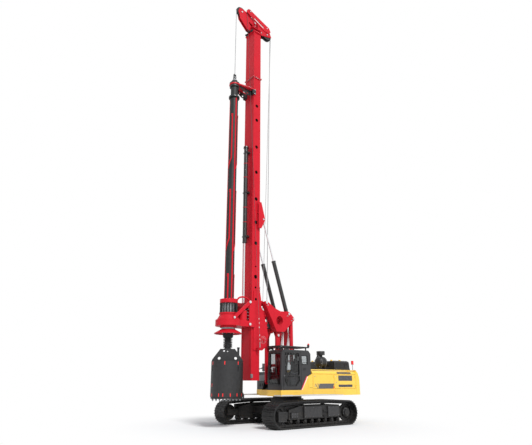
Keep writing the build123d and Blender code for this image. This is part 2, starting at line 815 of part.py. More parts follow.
def make_link():
    link = None
    for side in (-1, 1):
        y = sorted((side * link_y[0], side * link_y[1]))
        arm = capsule(link_foot(), link_head, link_width / 2 + 30, y)
        arm -= pin_y(link_foot(), pin_radius + running_gap, (-1000, 1000))
        arm -= pin_y(link_head, pin_radius + running_gap, (-1000, 1000))
        link = arm if link is None else link + arm
    centre = (link_foot()[0] + link_head[0]) / 2
    link += block(half_span(centre, plate * 3), (-link_web_half, link_web_half), (link_web_low, link_head[1] - 30))
    tie = (centre - 75, link_web_low + 40)
    link += pin_y(tie, 25, (-link_y[0] - 10, link_y[0] + 10))
    link += block((tie[0] - 15, centre), (-link_web_half, link_web_half), half_span(tie[1], 60))
    link += (pin_y(link_head, pin_radius + 20, (-link_y[0] - 10, link_y[0] + 10))
             - pin_y(link_head, pin_radius + running_gap, (-1000, 1000)))
    keep("link", link)


def ram(foot, eye, y, barrel_radius, rod_radius, barrel_length, head):
    """Barrel and rod of one cylinder between two side-view places, at one y."""
    foot_eye = pin_y(foot, pin_radius + 32, half_span(y, head))
    start = along(foot, eye, foot_neck)
    mouth = along(foot, eye, barrel_length)
    inner_end = along(foot, eye, barrel_length * 0.12)
    barrel = bar((start[0], y, start[1]), (mouth[0], y, mouth[1]), barrel_radius) + foot_eye
    barrel += bar((foot[0], y, foot[1]), (mouth[0], y, mouth[1]), head * 0.45)
    beyond = along(foot, eye, barrel_length + 50)
    barrel -= bar((inner_end[0], y, inner_end[1]), (beyond[0], y, beyond[1]), rod_radius + running_gap)
    barrel -= pin_y(foot, pin_radius + running_gap, half_span(y, head * 2))
    rod_start = along(foot, eye, barrel_length * 0.3)
    rod_end = along(foot, eye, math.dist(foot, eye) - pin_radius - eye_play)
    rod = bar((rod_start[0], y, rod_start[1]), (rod_end[0], y, rod_end[1]), rod_radius)
    rod += pin_y(eye, pin_radius + eye_play + 32, half_span(y, head))
    rod -= pin_y(eye, pin_radius + eye_play, half_span(y, head * 2))
    return barrel, rod


ram_head = 100
foot_neck = 125


def make_luff_rams():
    length = math.dist(luff_foot, luff_eye) * 0.62
    barrel, rod = ram(luff_foot, luff_eye, luff_y, luff_barrel_radius, luff_rod_radius, length, ram_head)
    keep("luff_barrels", *both_sides([barrel]))
    keep("luff_rods", *both_sides([rod]))


def make_mast_rams():
    barrel, rod = ram(mast_cylinder_foot, cylinder_eye, mast_cylinder_y, mast_barrel_radius, mast_rod_radius,
                      mast_barrel_length, ram_head)
    keep("mast_barrels", *both_sides([barrel]))
    keep("mast_rods", *both_sides([rod]))


def triangle_outline():
    """Side outline of the triangle: round corners at its pins, hollow upper edge."""
    return [(mast_pivot[0] + 60, mast_pivot[1] + 60), (mast_pivot[0] - 40, mast_pivot[1] + 85),
            (1200, 5330), (800, 5200), (mast_cylinder_foot[0] + 60, mast_cylinder_foot[1] + 110),
            (mast_cylinder_foot[0] - 70, mast_cylinder_foot[1] + 60), (link_head[0] - 60, link_head[1] + 30),
            (link_head[0] - 40, link_head[1] - 70), triangle_low_rear, triangle_low_front,
            (mast_pivot[0] + 80, mast_pivot[1] - 40)]


def make_cheek():
    """One boxed cheek with slots for the cylinder's foot and the link's head, and ears for the boom."""
    inside = (triangle_y[0] + plate, triangle_y[1] - plate)
    middle = triangle_hole
    hollow = [(middle[0] + (x - middle[0]) * 0.93, middle[1] + (z - middle[1]) * 0.9) for x, z in triangle_outline()]
    cheek = side_plate(triangle_outline(), triangle_y) - side_plate(hollow, inside)
    cheek -= capsule(mast_cylinder_foot, (mast_cylinder_foot[0] + 400, mast_cylinder_foot[1] + 1200), 180, inside)
    cheek -= capsule(mast_cylinder_foot, (mast_cylinder_foot[0], mast_cylinder_foot[1] + 1200), 180, inside)
    cheek -= capsule(link_head, (link_head[0] - 250, link_head[1] - 900), 150, inside)
    cheek -= capsule(link_head, (link_head[0] + 300, link_head[1] - 900), 150, inside)
    cheek -= pin_y(link_head, pin_radius + 20 + clearance, (0, inside[0] + 1))
    cheek -= pin_y(triangle_hole, triangle_hole_radius - plate, (0, 1000))
    cheek += (pin_y(triangle_hole, triangle_hole_radius, triangle_y)
              - pin_y(triangle_hole, triangle_hole_radius - plate, (0, 1000)))
    # Bosses and pins that fill the space beside the cylinder's foot and the link's head
    for place, held in ((mast_cylinder_foot, half_span(mast_cylinder_y, ram_head)), (link_head, link_y)):
        cheek += pin_y(place, pin_radius, (held[0] - 5, inside[1] + 5))
        cheek += pin_y(place, pin_radius + 30, (held[1] + running_gap, inside[1] + 1))
    cheek += pin_y(mast_cylinder_foot, pin_radius + 30, (inside[0] - 1, mast_cylinder_y - ram_head / 2 - running_gap))
    cheek += pin_y(mast_cylinder_foot, pin_radius, (inside[0] - 1, mast_cylinder_y))
    # Ears below for the boom's head
    for y in ((boom_y[1] + running_gap, boom_y[1] + running_gap + 40), (boom_y[0] - running_gap - 40,
              boom_y[0] - running_gap)):
        cheek += side_plate([(boom_head[0] - 180, triangle_low_front[1] + 10), (boom_head[0] - 80, boom_head[1] - 60),
                             (boom_head[0] + 80, boom_head[1] - 60), (boom_head[0] + 180, triangle_low_front[1] + 10)],
                            y)
    cheek += pin_y(boom_head, pin_radius, (boom_y[0] - 40, boom_y[1] + 40))
    return cheek - pin_y(mast_pivot, pivot_radius + running_gap, (0, 1000))


def make_triangle():
    cheek = make_cheek()
    body = cheek + mirrored(cheek)
    body += pin_y(triangle_tube, triangle_tube_radius, (-triangle_y[0] - 5, triangle_y[0] + 5))
    # Ears for the luffing rods, on the inner faces
    for side in (-1, 1):
        for face in (-1, 1):
            ear_y = side * luff_y + face * (ram_head / 2 + running_gap + plate / 2)
            body += side_plate([(luff_eye[0] - 60, luff_eye[1] - 60), (luff_eye[0] + 70, luff_eye[1] - 70),
                                (620, 4420), (620, 4700), (luff_eye[0] - 60, luff_eye[1] + 60)],
                               half_span(ear_y, plate))
        body += pin_y(luff_eye, pin_radius, half_span(side * luff_y, ram_head + plate * 2))
        body += block((480, 620), sorted((side * (luff_y - ram_head / 2 - plate), side * (triangle_y[0] + 5))),
                      (4470, 4680))
    keep("triangle", body)


def make_mast_section(z0, z1):
    section = block((mast_rear_x, mast_front_x), (-mast_half_width, mast_half_width), (z0, z1))
    section -= block((mast_rear_x + mast_wall, mast_front_x - mast_wall),
                     (-mast_half_width + mast_wall, mast_half_width - mast_wall), (z0 + mast_wall, z1 - mast_wall))
    middle_x = (mast_rear_x + mast_front_x) / 2
    for z in mast_hole_z:
        if z0 + 100 < z < z1 - 100:
            section -= pin_y((middle_x, z), mast_hole_radius, (-1000, 1000))
    for side in (-1, 1):
        rail_y = sorted((side * (mast_half_width - 1), side * (mast_half_width + rail_height)))
        section += block((mast_front_x - rail_width, mast_front_x), rail_y, (z0, z1))
    return section


def make_mast():
    lower = make_mast_section(mast_foot_z, mast_joint_z)
    # Side plates of the winch bracket
    bracket = [(2330, 3300), (1800, 3300), (aux_winch_centre[0] - 180, 3470), (aux_winch_centre[0] - 330, 3990),
               (1640, 4850), (1850, 5350), (1870, 5720), (mast_rear_x, 6080), (2330, 6080)]
    for side in (-1, 1):
        y = sorted((side * (mast_half_width - 1), side * bracket_y))
        cheek = side_plate(bracket, y)
        cheek -= pin_y(aux_winch_centre, drum_shaft_radius + running_gap, (-1000, 1000))
        arm = side_plate([(mast_rear_x + 10, winch_centre[1] - 260), (mast_rear_x + 10, winch_centre[1] + 290),
                          (winch_centre[0] + 60, winch_centre[1] + 110), (winch_centre[0] - 110, winch_centre[1] + 90),
                          (winch_centre[0] - 110, winch_centre[1] - 90), (winch_centre[0] + 60, winch_centre[1] - 130)],
                         sorted((side * winch_arm_y[0], side * winch_arm_y[1])))
        arm -= pin_y(winch_centre, drum_shaft_radius + running_gap, (-1000, 1000))
        lower += cheek + arm
    # Anchor of the second rope's parked end, on the left cheek
    lower += block((2110, 2190), (bracket_y - 5, rope_anchor_y + 40), (rope_anchor_z - 25, rope_anchor_z))
    lower += side_plate([(2110, rope_anchor_z - 24), (2110, rope_anchor_z - 80), (2190, rope_anchor_z - 80),
                         (2190, rope_anchor_z - 24)], (bracket_y - 5, bracket_y + 60))
    # Ears of the pivot on the triangle
    for side in (-1, 1):
        ear = capsule(mast_pivot, (mast_rear_x + 30, mast_pivot[1] - 60), 130, sorted((side * 120, side * 240)))
        ear -= pin_y(mast_pivot, pivot_radius, (-1000, 1000))
        lower += ear
    keep("mast_lower", lower)

    middle = make_mast_section(mast_joint_z, mast_upper_joint_z)
    for side in (-1, 1):
        for face in (-1, 1):
            ear_y = side * mast_cylinder_y + face * (ram_head / 2 + running_gap + plate / 2)
            middle += side_plate([(mast_rear_x + 15, cylinder_eye[1] + 900), (cylinder_eye[0] - 80, cylinder_eye[1] + 60),
                                  (cylinder_eye[0] - 80, cylinder_eye[1] - 60), (mast_rear_x + 15, cylinder_eye[1] - 520),
                                  (mast_rear_x + 200, cylinder_eye[1] - 520),
                                  (mast_rear_x + 200, cylinder_eye[1] + 900)], half_span(ear_y, plate))
        middle += block((mast_rear_x + 20, mast_rear_x + 200), sorted((side * (mast_half_width - 1),
                        side * (mast_cylinder_y + ram_head / 2 + plate))), (cylinder_eye[1] + 300, cylinder_eye[1] + 340))
        middle += pin_y(cylinder_eye, pin_radius, half_span(side * mast_cylinder_y, ram_head + plate * 2))
    keep("mast_middle", middle)

    upper = make_mast_section(mast_upper_joint_z, mast_top_z)
    for z in (mast_upper_joint_z, mast_top_z - 60):
        upper += block((mast_rear_x - 40, mast_front_x + 50), half_span(0, mast_half_width * 2 + mast_flange_reach * 2),
                       (z, z + 60))
    keep("mast_upper", upper)


def make_mast_pivot():
    """Cross shaft that joins the mast's ears to the triangle."""
    keep("mast_pivot", pin_y(mast_pivot, pivot_radius, (-triangle_y[1] - 40, triangle_y[1] + 40)))


def make_crowd():
    z0, z1 = crowd_barrel_z
    barrel = upright(crowd_x, 0, crowd_barrel_radius, (z0, z1))
    barrel += upright(crowd_x, 0, crowd_barrel_radius + 25, (z1 - 90, z1))
    barrel -= upright(crowd_x, 0, crowd_rod_radius + running_gap, (z0 - 10, z1 - crowd_cap))
    clamps = []
    for z in (z0 + 300, (z0 + z1) / 2, z1 - 380):
        clamp = block((mast_front_x + running_gap, crowd_x + 60), (-150, 150), (z, z + 80))
        clamps.append(clamp - upright(crowd_x, 0, crowd_barrel_radius + clamp_gap, (z - 10, z + 100)))
    keep("crowd_barrel", barrel, *clamps)
    rod_top = z1 - crowd_cap - crowd_reach - clearance * 2
    keep("crowd_rod", upright(crowd_x, 0, crowd_rod_radius, (crowd_eye_z, rod_top)))


def make_winches():
    rows = (("main_drum", winch_centre, drum_radius, drum_flange_radius, drum_half_length, winch_arm_y[1]),
            ("aux_drum", aux_winch_centre, aux_drum_radius, aux_flange_radius, aux_drum_half_length, bracket_y))
    for name, centre, drum, flange, half, reach in rows:
        reel = pin_y(centre, drum, (-half, half)) + pin_y(centre, drum_shaft_radius, (-reach, reach))
        for side in (-1, 1):
            reel += pin_y(centre, flange, sorted((side * half, side * (half - 25))))
        keep(name, reel)


def make_mast_head():
    """Two head plates for the front sheave, slotted beams for the second rope, and a rear arm."""
    front_arm = [(mast_rear_x + 20, mast_top_z + 300), (mast_rear_x + 20, mast_top_z + 20),
                 (mast_front_x - 40, mast_top_z + 20), (2720, 21640), (3290, 22200), (3340, 22420), (3420, 22640),
                 (3350, 22900), (3170, 22950), (2790, 22880), (2500, 22740)]
    window = [(2290, 21945), (2150, 22080), (2190, 22130), (2620, 22290), (2660, 22230), (2440, 21945)]
    slotted_beam = [(1590, 22180), (2630, 22720), (2870, 22830), (2880, 22950), (2690, 23130), (1150, 22570),
                    (1030, 22330), (1160, 22160)]
    rear_arm = [(mast_rear_x + 80, 21700), (mast_rear_x + 80, 22260), (1610, 22330), (1070, 22270), (940, 21980),
                (1610, 21780)]
    head = None
    for side in (-1, 1):
        half = side_plate(front_arm, sorted((side * head_plate_y[0], side * head_plate_y[1])))
        half -= side_plate(window, (-1000, 1000))
        beam = side_plate(slotted_beam, sorted((side * aux_beam_y[0], side * aux_beam_y[1])))
        beam -= capsule((1610, 22380), (2260, 22650), 55, (-1000, 1000))
        half += beam + side_plate(rear_arm, sorted((side * rear_arm_y[0], side * rear_arm_y[1] + side)))
        head = half if head is None else head + half
    # Column, flanges and cross tubes that tie the plates together
    head += block((mast_rear_x + 20, mast_front_x - 40), (-aux_beam_y[1], aux_beam_y[1]), (mast_top_z, 21900))
    for z in (mast_top_z + 60, mast_top_z + 300):
        head += block((mast_rear_x - 60, mast_front_x + 90), (-head_flange_half, head_flange_half), (z, z + 40))
    head += block((mast_rear_x + 20, mast_rear_x + 80), (-aux_beam_y[1], aux_beam_y[1]), (21890, 22420))
    for place, radius, half in (((2250, 22330), 60, aux_beam_y[1]), ((2960, 22260), 40, head_plate_y[1]),
                                ((1300, 22470), 40, aux_beam_y[1]), ((1760, 21900), 40, aux_beam_y[1]),
                                (head_pin, 45, head_plate_y[1] + 15), (rear_pin, 45, rear_arm_y[1] + 20),
                                (aux_head_pin, 40, aux_beam_y[1] + 15)):
        head += pin_y(place, radius, (-half, half))
    # Strut beside the window
    head += bar((2480, 0, 21930), (2850, 0, 22330), 45)
    keep("mast_head", head)


def sheave(place, radius, middle, width, bore):
    """Grooved rope wheel."""
    wheel_solid = pin_y(place, radius, half_span(middle, width))
    groove = pin_y(place, radius + 10, half_span(middle, width / 2)) - pin_y(place, radius - 35, (-500, 500))
    return wheel_solid - groove - pin_y(place, bore + running_gap, (-500, 500))


def make_sheaves():
    keep("front_sheave", sheave(head_pin, front_sheave_radius, 0, sheave_width, 45))
    keep("rear_sheave", sheave(rear_pin, rear_sheave_radius, 0, sheave_width, 45),
         sheave(rear_pin, rear_sheave_radius - 40, rear_aux_sheave_y, aux_sheave_width, 45))
    keep("aux_sheave", sheave(aux_head_pin, aux_sheave_radius, aux_sheave_y, aux_sheave_width, 40))


def make_carriage():
    """Slide on the mast's rails: two cheeks with shoes, joined in front of the mast."""
    inner_y = mast_half_width + rail_height + 50
    body = None
    for side in (-1, 1):
        cheek = block((carriage_rear_x, carriage_front_x), sorted((side * inner_y, side * carriage_half_width)),
                      carriage_z)
        for z in (carriage_z[0] + 60, carriage_z[1] - 260):
            shoe = block((carriage_rear_x, mast_front_x + 70),
                         sorted((side * (mast_half_width + 6), side * (inner_y + 5))), (z, z + 200))
            shoe -= block((mast_front_x - rail_width - running_gap, mast_front_x + running_gap),
                          sorted((side * mast_half_width, side * (mast_half_width + rail_height + running_gap))),
                          (z - 1, z + 201))
            cheek += shoe
        body = cheek if body is None else body + cheek
    body += block((mast_front_x + 15, carriage_front_x + 60), (-inner_y - 5, inner_y + 5),
                  (crowd_eye_z - 280, crowd_eye_z))
    keep("carriage", body)


def make_housing():
    """Gearbox of the rotary head: a ring round the kelly bar with two straight flanks back to the slide."""
    deck_plate = upright(kelly_x, 0, housing_radius, housing_z)
    deck_plate += block((carriage_front_x, kelly_x), (-carriage_half_width, carriage_half_width), housing_z)
    inner_y = mast_half_width + rail_height + 50
    deck_plate += block((mast_front_x + 15, carriage_front_x + 5), (-inner_y, inner_y), housing_z)
    deck_plate += Pos(kelly_x, 0, housing_z[1]) * Cone(housing_radius - 50, cage_radius, cone_top_z - housing_z[1],
                                                      align=(Align.CENTER, Align.CENTER, Align.MIN))
    deck_plate += upright(kelly_x, 0, cage_radius - 20, (cone_top_z - 5, cage_z[0]))
    deck_plate += upright(kelly_x, 0, housing_radius - 220, (housing_z[0] - 70, housing_z[0]))
    for side in (-1, 1):
        deck_plate += pin_y((carriage_front_x, housing_z[0] + 110), 55,
                            sorted((side * carriage_half_width, side * 560)))
        for x, z in ((carriage_front_x, carriage_z[1] - 90), (kelly_x + 50, housing_z[1] + 80)):
            deck_plate += pin_y((x, z), 55, sorted((side * (carriage_half_width + 1), side * 560)))
    for side in (-1, 1):
        deck_plate += capsule((carriage_front_x, carriage_z[1] - 90), (kelly_x + 50, housing_z[1] + 80), 80,
                              sorted((side * (carriage_half_width + 1), side * 540)))
        deck_plate += block((kelly_x - 110, kelly_x + 130), sorted((side * 400, side * 540)),
                            (housing_z[1] - 10, housing_z[1] + 60))
        deck_plate += upright(2900, side * 300, 190, (housing_z[1] - 10, 5060))
    deck_plate -= upright(kelly_x, 0, sleeve_radius + running_gap, (3000, 7000))
    for side in (-1, 1):
        deck_plate -= block((carriage_rear_x, carriage_front_x), sorted((side * inner_y, side * carriage_half_width)),
                            carriage_z)
        deck_plate -= block((mast_rear_x, mast_front_x + 75), sorted((side * mast_half_width, side * inner_y)),
                            carriage_z)
    keep("rotary_housing", deck_plate)


def make_cage():
    """Ring of spring rods that cushions the kelly bar above the gearbox."""
    lower = upright(kelly_x, 0, cage_radius, (cage_z[0], cage_z[0] + 60))
    upper = upright(kelly_x, 0, cage_radius - 20, (cage_z[1], cage_z[1] + 180))
    cage = lower + upper
    for index in range(cage_rod_count):
        angle = 2 * math.pi * index / cage_rod_count
        reach = cage_radius - cage_rod_radius - 25
        cage += upright(kelly_x + reach * math.cos(angle), reach * math.sin(angle), cage_rod_radius,
                        (cage_z[0] + 50, cage_z[1] + 10))
    cage -= upright(kelly_x, 0, sleeve_radius + running_gap, (3000, 7000))
    keep("spring_cage", cage)


def make_sleeve():
    """Turning drive tube with its flange, and the spoil dish under it."""
    low, high = dish_z + 20, cage_z[1] + 170
    tube = upright(kelly_x, 0, sleeve_radius, (low, high))
    flange_top = housing_z[0] - 70 - running_gap
    tube += upright(kelly_x, 0, sleeve_radius + 30, (flange_top - 70, flange_top))
    tube -= upright(kelly_x, 0, sleeve_bore_radius, (low - 10, high + 10))
    keep("drive_sleeve", tube)
    profile = [(sleeve_radius, flange_top - 71), (sleeve_radius, flange_top - 100), (dish_radius, dish_z),
               (dish_radius, dish_z + 25), (sleeve_radius + 40, flange_top - 71)]
    face = make_face(Polyline(*[(kelly_x + r, 0, z) for r, z in profile], close=True))
    keep("spoil_dish", revolve(face, axis=Axis((kelly_x, 0, 0), (0, 0, 1))))


def make_kelly():
    collar_top = kelly_bottom_z + 150
    outer = upright(kelly_x, 0, kelly_radius, (kelly_bottom_z, kelly_ring_z))
    outer += upright(kelly_x, 0, kelly_radius + kelly_key, (kelly_bottom_z, collar_top))
    outer += upright(kelly_x, 0, kelly_ring_radius, (kelly_ring_z, kelly_ring_z + kelly_ring_height))
    neck_top = kelly_ring_z + kelly_ring_height + running_gap * 2 + guide_ring_height
    outer += upright(kelly_x, 0, neck_radius, (kelly_ring_z, neck_top))
    outer += upright(kelly_x, 0, kelly_ring_radius - 15, (neck_top, neck_top + kelly_ring_height))
    outer -= upright(kelly_x, 0, kelly_bore_radius, (kelly_bottom_z - 10, neck_top))
    keep("kelly_outer", outer)
    keep("kelly_keys", *make_keys(collar_top))
    head_z = neck_top + kelly_ring_height
    swivel = upright(kelly_x, 0, 150, (head_z, head_z + 180))
    swivel += upright(kelly_x, 0, swivel_radius, (head_z + 170, swivel_top_z - 120))
    swivel += block((kelly_x - 70, kelly_x + 70), (-35, 35), (swivel_top_z - 130, swivel_top_z))
    swivel -= pin_y((kelly_x, swivel_top_z - 60), eye_radius, (-200, 200))
    keep("rope_swivel", swivel)
    inner = upright(kelly_x, 0, inner_kelly_radius, (bucket_box_top + running_gap, kelly_ring_z - 300))
    ring_top = kelly_bottom_z - running_gap
    for index in range(ring_count):
        inner += upright(kelly_x, 0, ring_radius_inner, (ring_top - 35 - index * 75, ring_top - index * 75))
    inner += in_bucket(block((-stub_half, stub_half), (-stub_half, stub_half), (2950, bucket_box_top + 5)))
    inner -= in_bucket(pin_y((0, tool_pin_z), tool_pin_radius, (-300, 300)))
    keep("kelly_inner", inner)


def on_tube(solid, angle):
    """Turn a solid about the origin's upright axis and cut it off at the kelly tube's surface."""
    return Rot(0, 0, angle) * solid - upright(0, 0, kelly_radius, (0, 30000))


def make_keys(low):
    """Drive keys of the kelly bar: full-length strips, and strips with stops that slant over to them."""
    outside = (kelly_radius - 20, kelly_radius + kelly_key)
    across = half_span(0, kelly_key_width)
    start = kelly_key_angles[0] + 120
    turn_to_whole = kelly_key_angles[0] - kelly_key_angles[1] + 120 - key_slant_margin
    reach = kelly_radius + kelly_key / 2 - 8
    strips = [on_tube(block(outside, across, (low, kelly_ring_z - 60)), kelly_key_angles[1])]
    for bottom, top in kelly_key_runs:
        stop = block(outside, (-58, 10), (top - key_stop_height, top))
        stop -= block((0, 1000), (-42, -20), (top - key_stop_height + 35, top - 35))
        strip = on_tube(block(outside, across, (bottom or low, top)), start) + on_tube(stop, start)
        for index in range(kelly_slant_steps if bottom else 0):
            ends = []
            for share in (index / kelly_slant_steps, (index + 1) / kelly_slant_steps):
                angle = math.radians(start - turn_to_whole * share)
                ends.append(Vector(reach * math.cos(angle), reach * math.sin(angle),
                                   bottom - kelly_slant_drop * share))
            strip += slant_piece(*ends)
        strips.append(strip)
    return [Pos(kelly_x, 0, 0) * Rot(0, 0, turn) * strip for turn in (0, 120, 240) for strip in strips]


def slant_piece(start, end):
    """Short flat piece between two places beside the kelly tube, which lies against its surface."""
    middle = (start + end) / 2
    outwards = Vector(middle.X, middle.Y, 0).normalized()
    run = end - start
    place = Plane(origin=middle, x_dir=outwards.cross(run.normalized()), z_dir=run)
    piece = place * Box(kelly_key_width, kelly_key + 16, run.length + 24)
    return piece - upright(0, 0, kelly_radius, (0, 30000))


def make_kelly_guide():
    """Slide at the top of the kelly bar: a plate round the bar's neck, webs with two holes, and shoes on the rails."""
    high = kelly_ring_z + kelly_ring_height + running_gap + guide_ring_height
    inner_y = mast_half_width + rail_height + 20
    guide = upright(kelly_x, 0, 290, (high - 60, high))
    guide += plan_plate([(mast_front_x + 15, -inner_y - 40), (2750, -inner_y), (kelly_x, -290), (kelly_x + 150, -200),
                         (kelly_x + 150, 200), (kelly_x, 290), (2750, inner_y), (mast_front_x + 15, inner_y + 40)],
                        (high - 60, high))
    guide += upright(kelly_x, 0, neck_radius + 60, (high - 180, high))
    for side in (-1, 1):
        web = side_plate([(mast_front_x + 15, high - 30), (mast_front_x + 15, high - 330), (2700, high - 420),
                          (2860, high - 400), (kelly_x - 200, high - 150), (kelly_x - 200, high - 30)],
                         sorted((side * 205, side * 235)))
        web -= pin_y((3000, high - 170), 60, (-1000, 1000)) + pin_y((2780, high - 290), 55, (-1000, 1000))
        guide += web
        cheek = block((carriage_rear_x, mast_front_x + 120), sorted((side * inner_y, side * (inner_y + 40))),
                      (high - 330, high))
        for z in (high - 310, high - 120):
            shoe = block((carriage_rear_x, mast_front_x + 70),
                         sorted((side * (mast_half_width + 6), side * (inner_y + 5))), (z, z + 110))
            shoe -= block((mast_front_x - rail_width - running_gap, mast_front_x + running_gap),
                          sorted((side * mast_half_width, side * (mast_half_width + rail_height + running_gap))),
                          (z - 1, z + 111))
            cheek += shoe
        guide += cheek
        guide += block((mast_front_x + 15, mast_front_x + 55), sorted((side * 200, side * (inner_y + 5))),
                       (high - 330, high - 30))
    guide -= upright(kelly_x, 0, neck_radius + clearance, (high - 1000, high + 10))
    guide -= block((mast_front_x, crowd_x + crowd_barrel_radius + 60), (-200, 200), (high - 1000, high + 10))
    guide -= block((mast_rear_x, mast_front_x + 15), (-mast_half_width - 5, mast_half_width + 5),
                   (high - 1000, high + 10))
    # Notch for the second rope
    guide -= block((2585, 2650), (240, 312), (high - 100, high + 10))
    keep("kelly_guide", guide)


bucket_turn = -35.2
knuckle_half = 70


def in_bucket(solid):
    """Turn a solid made with the bucket's own axes, its middle on the kelly bar's axis."""
    return Pos(kelly_x, 0, 0) * Rot(0, 0, bucket_turn) * solid


def bucket_hinge():
    """Place of the bottom door's hinge in the bucket's own axes."""
    return (-bucket_radius - 30, bucket_bottom_z - 40)


def make_bucket():
    shell = upright(0, 0, bucket_radius, (bucket_bottom_z, bucket_top_z))
    shell -= upright(0, 0, bucket_radius - bucket_wall, (bucket_bottom_z - 1, bucket_top_z - bucket_wall))
    box_top = bucket_box_top
    for side in (-1, 1):
        wing = side_plate([(-bucket_radius + 20, bucket_top_z - 2), (-bucket_radius + 30, bucket_top_z + 60),
                           (-330, box_top - 20), (330, box_top - 20), (bucket_radius - 30, bucket_top_z + 60),
                           (bucket_radius - 20, bucket_top_z - 2)], sorted((side * 140, side * 175)))
        for x in (-370, 370):
            wing -= pin_y((x, bucket_top_z + 130), 65, (-300, 300))
        shell += wing
    shell += block((-175, 175), (-175, 175), (bucket_top_z - 2, box_top))
    shell -= block((-stub_half - running_gap, stub_half + running_gap),
                   (-stub_half - running_gap, stub_half + running_gap), (2940, box_top + 10))
    shell += block((-bucket_radius + 180, -bucket_radius + 280), (-60, 60), (bucket_top_z - 2, 3390))
    shell -= pin_y((0, tool_pin_z), tool_pin_radius, (-300, 300))
    # Hinge of the bottom door: ears on the bucket, knuckle on the door
    hinge = bucket_hinge()
    for side in (-1, 1):
        ear_y = sorted((side * (knuckle_half + running_gap), side * (knuckle_half + 35)))
        shell += side_plate([(hinge[0] - 35, hinge[1]), (hinge[0] - 35, hinge[1] + 120),
                             (-bucket_radius + 12, hinge[1] + 260), (-bucket_radius + 12, bucket_bottom_z + 1),
                             (hinge[0] + 20, hinge[1] - 30)], ear_y)
    shell += pin_y(hinge, 18, (-knuckle_half - 30, knuckle_half + 30))
    keep("bucket", in_bucket(shell))
    door = upright(0, 0, bucket_radius - 15, (bucket_door_z, bucket_bottom_z - 5))
    door += block((hinge[0], -bucket_radius + 120), (-knuckle_half, knuckle_half), (bucket_door_z, hinge[1] - 12))
    door += pin_y(hinge, 36, (-knuckle_half, knuckle_half))
    door -= pin_y(hinge, 18 + running_gap, (-knuckle_half - 1, knuckle_half + 1))
    for index in range(-4, 5):
        if index:
            x = index * 150
            door += side_plate([(x - 45, bucket_door_z + 5), (x - 20, teeth_bottom_z), (x + 10, teeth_bottom_z),
                                (x + 45, bucket_door_z + 5)], half_span(80 if index > 0 else -80, 70))
    keep("bucket_door", in_bucket(door))


for make in (make_tracks, make_track_wheels, make_track_frames, make_carbody, make_slew_ring, make_deck, make_skirt,
             make_counterweight, make_house, make_house_doors, make_engine, make_engine_hood, make_air_cleaner,
             make_cab, make_cab_door, make_cab_glass, make_cab_seat, make_cab_guard, make_side_box, make_mirror,
             make_beacon, make_boom, make_link, make_luff_rams, make_mast_rams, make_triangle, make_mast,
             make_crowd, make_winches, make_mast_head, make_sheaves, make_mast_pivot, make_carriage, make_housing,
             make_cage, make_sleeve, make_kelly, make_kelly_guide, make_bucket):
    make()

os.makedirs("parts", exist_ok=True)
for name, solids in nodes.items():
    placed = [Pos(-origin_x, 0, 0) * solid for solid in solids]
    export_step(Compound(placed) if len(placed) > 1 else placed[0], f"parts/{name}.step")
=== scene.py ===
# %% [markdown]
# # A rotary piling rig, dressed in Blender
# The rig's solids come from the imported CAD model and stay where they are. This lesson gives them
# their paint, steel, rubber and glass, and adds what a CAD model leaves out: ropes, pins, bolts,
# louvres, lamps, pipes and stripes. Everything is in metres, in the same frame as the CAD model.

# %% Load the frame
import math
import bpy
from mathutils import Matrix, Vector


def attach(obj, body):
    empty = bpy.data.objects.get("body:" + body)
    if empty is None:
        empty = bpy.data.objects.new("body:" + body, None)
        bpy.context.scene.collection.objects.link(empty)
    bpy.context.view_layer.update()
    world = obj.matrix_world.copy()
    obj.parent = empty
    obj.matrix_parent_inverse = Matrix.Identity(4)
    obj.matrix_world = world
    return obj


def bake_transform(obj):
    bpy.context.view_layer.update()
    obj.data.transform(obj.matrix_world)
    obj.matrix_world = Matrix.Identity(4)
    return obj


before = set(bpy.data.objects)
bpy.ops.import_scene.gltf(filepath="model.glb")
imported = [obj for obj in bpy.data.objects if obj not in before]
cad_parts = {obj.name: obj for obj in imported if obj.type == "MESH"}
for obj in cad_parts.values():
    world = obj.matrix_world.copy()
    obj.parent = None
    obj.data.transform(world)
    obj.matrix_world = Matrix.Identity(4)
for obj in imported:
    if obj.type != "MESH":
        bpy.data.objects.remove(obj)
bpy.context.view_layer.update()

# %% [markdown]
# The CAD source counts millimetres from the middle of the tracks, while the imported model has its
# origin under the middle of the whole machine. One small function turns a place from the drawing
# into a place in this scene, so the numbers below can be read off the drawing.

# %% Places and selections
SHIFT_X = 160.0


def spot(x, y, z):
    """A place of the drawing, in millimetres, as a place in the scene, in metres."""
    return Vector(((x - SHIFT_X) / 1000, y / 1000, z / 1000))


def select_only(*pieces):
    bpy.ops.object.select_all(action="DESELECT")
    for piece in pieces:
        piece.select_set(True)
    bpy.context.view_layer.objects.active = pieces[0]


def settle(piece):
    """Move the piece's place, turn and size into its mesh."""
    select_only(piece)
    bpy.ops.object.transform_apply(location=True, rotation=True, scale=True)


def with_modifier(piece, kind, **values):
    """Add a modifier, set its values and apply it."""
    select_only(piece)
    modifier = piece.modifiers.new(kind.title(), kind)
    for key, value in values.items():
        setattr(modifier, key, value)
    bpy.ops.object.modifier_apply(modifier=modifier.name)


def join(pieces):
    select_only(*pieces)
    if len(pieces) > 1:
        bpy.ops.object.join()
    return bpy.context.view_layer.objects.active


# %% [markdown]
# ## Camera
# The photograph was taken from low down ahead of the cab's side with a short lens tilted upwards.
# The numbers come from matching the drawing's corners with the picture's.

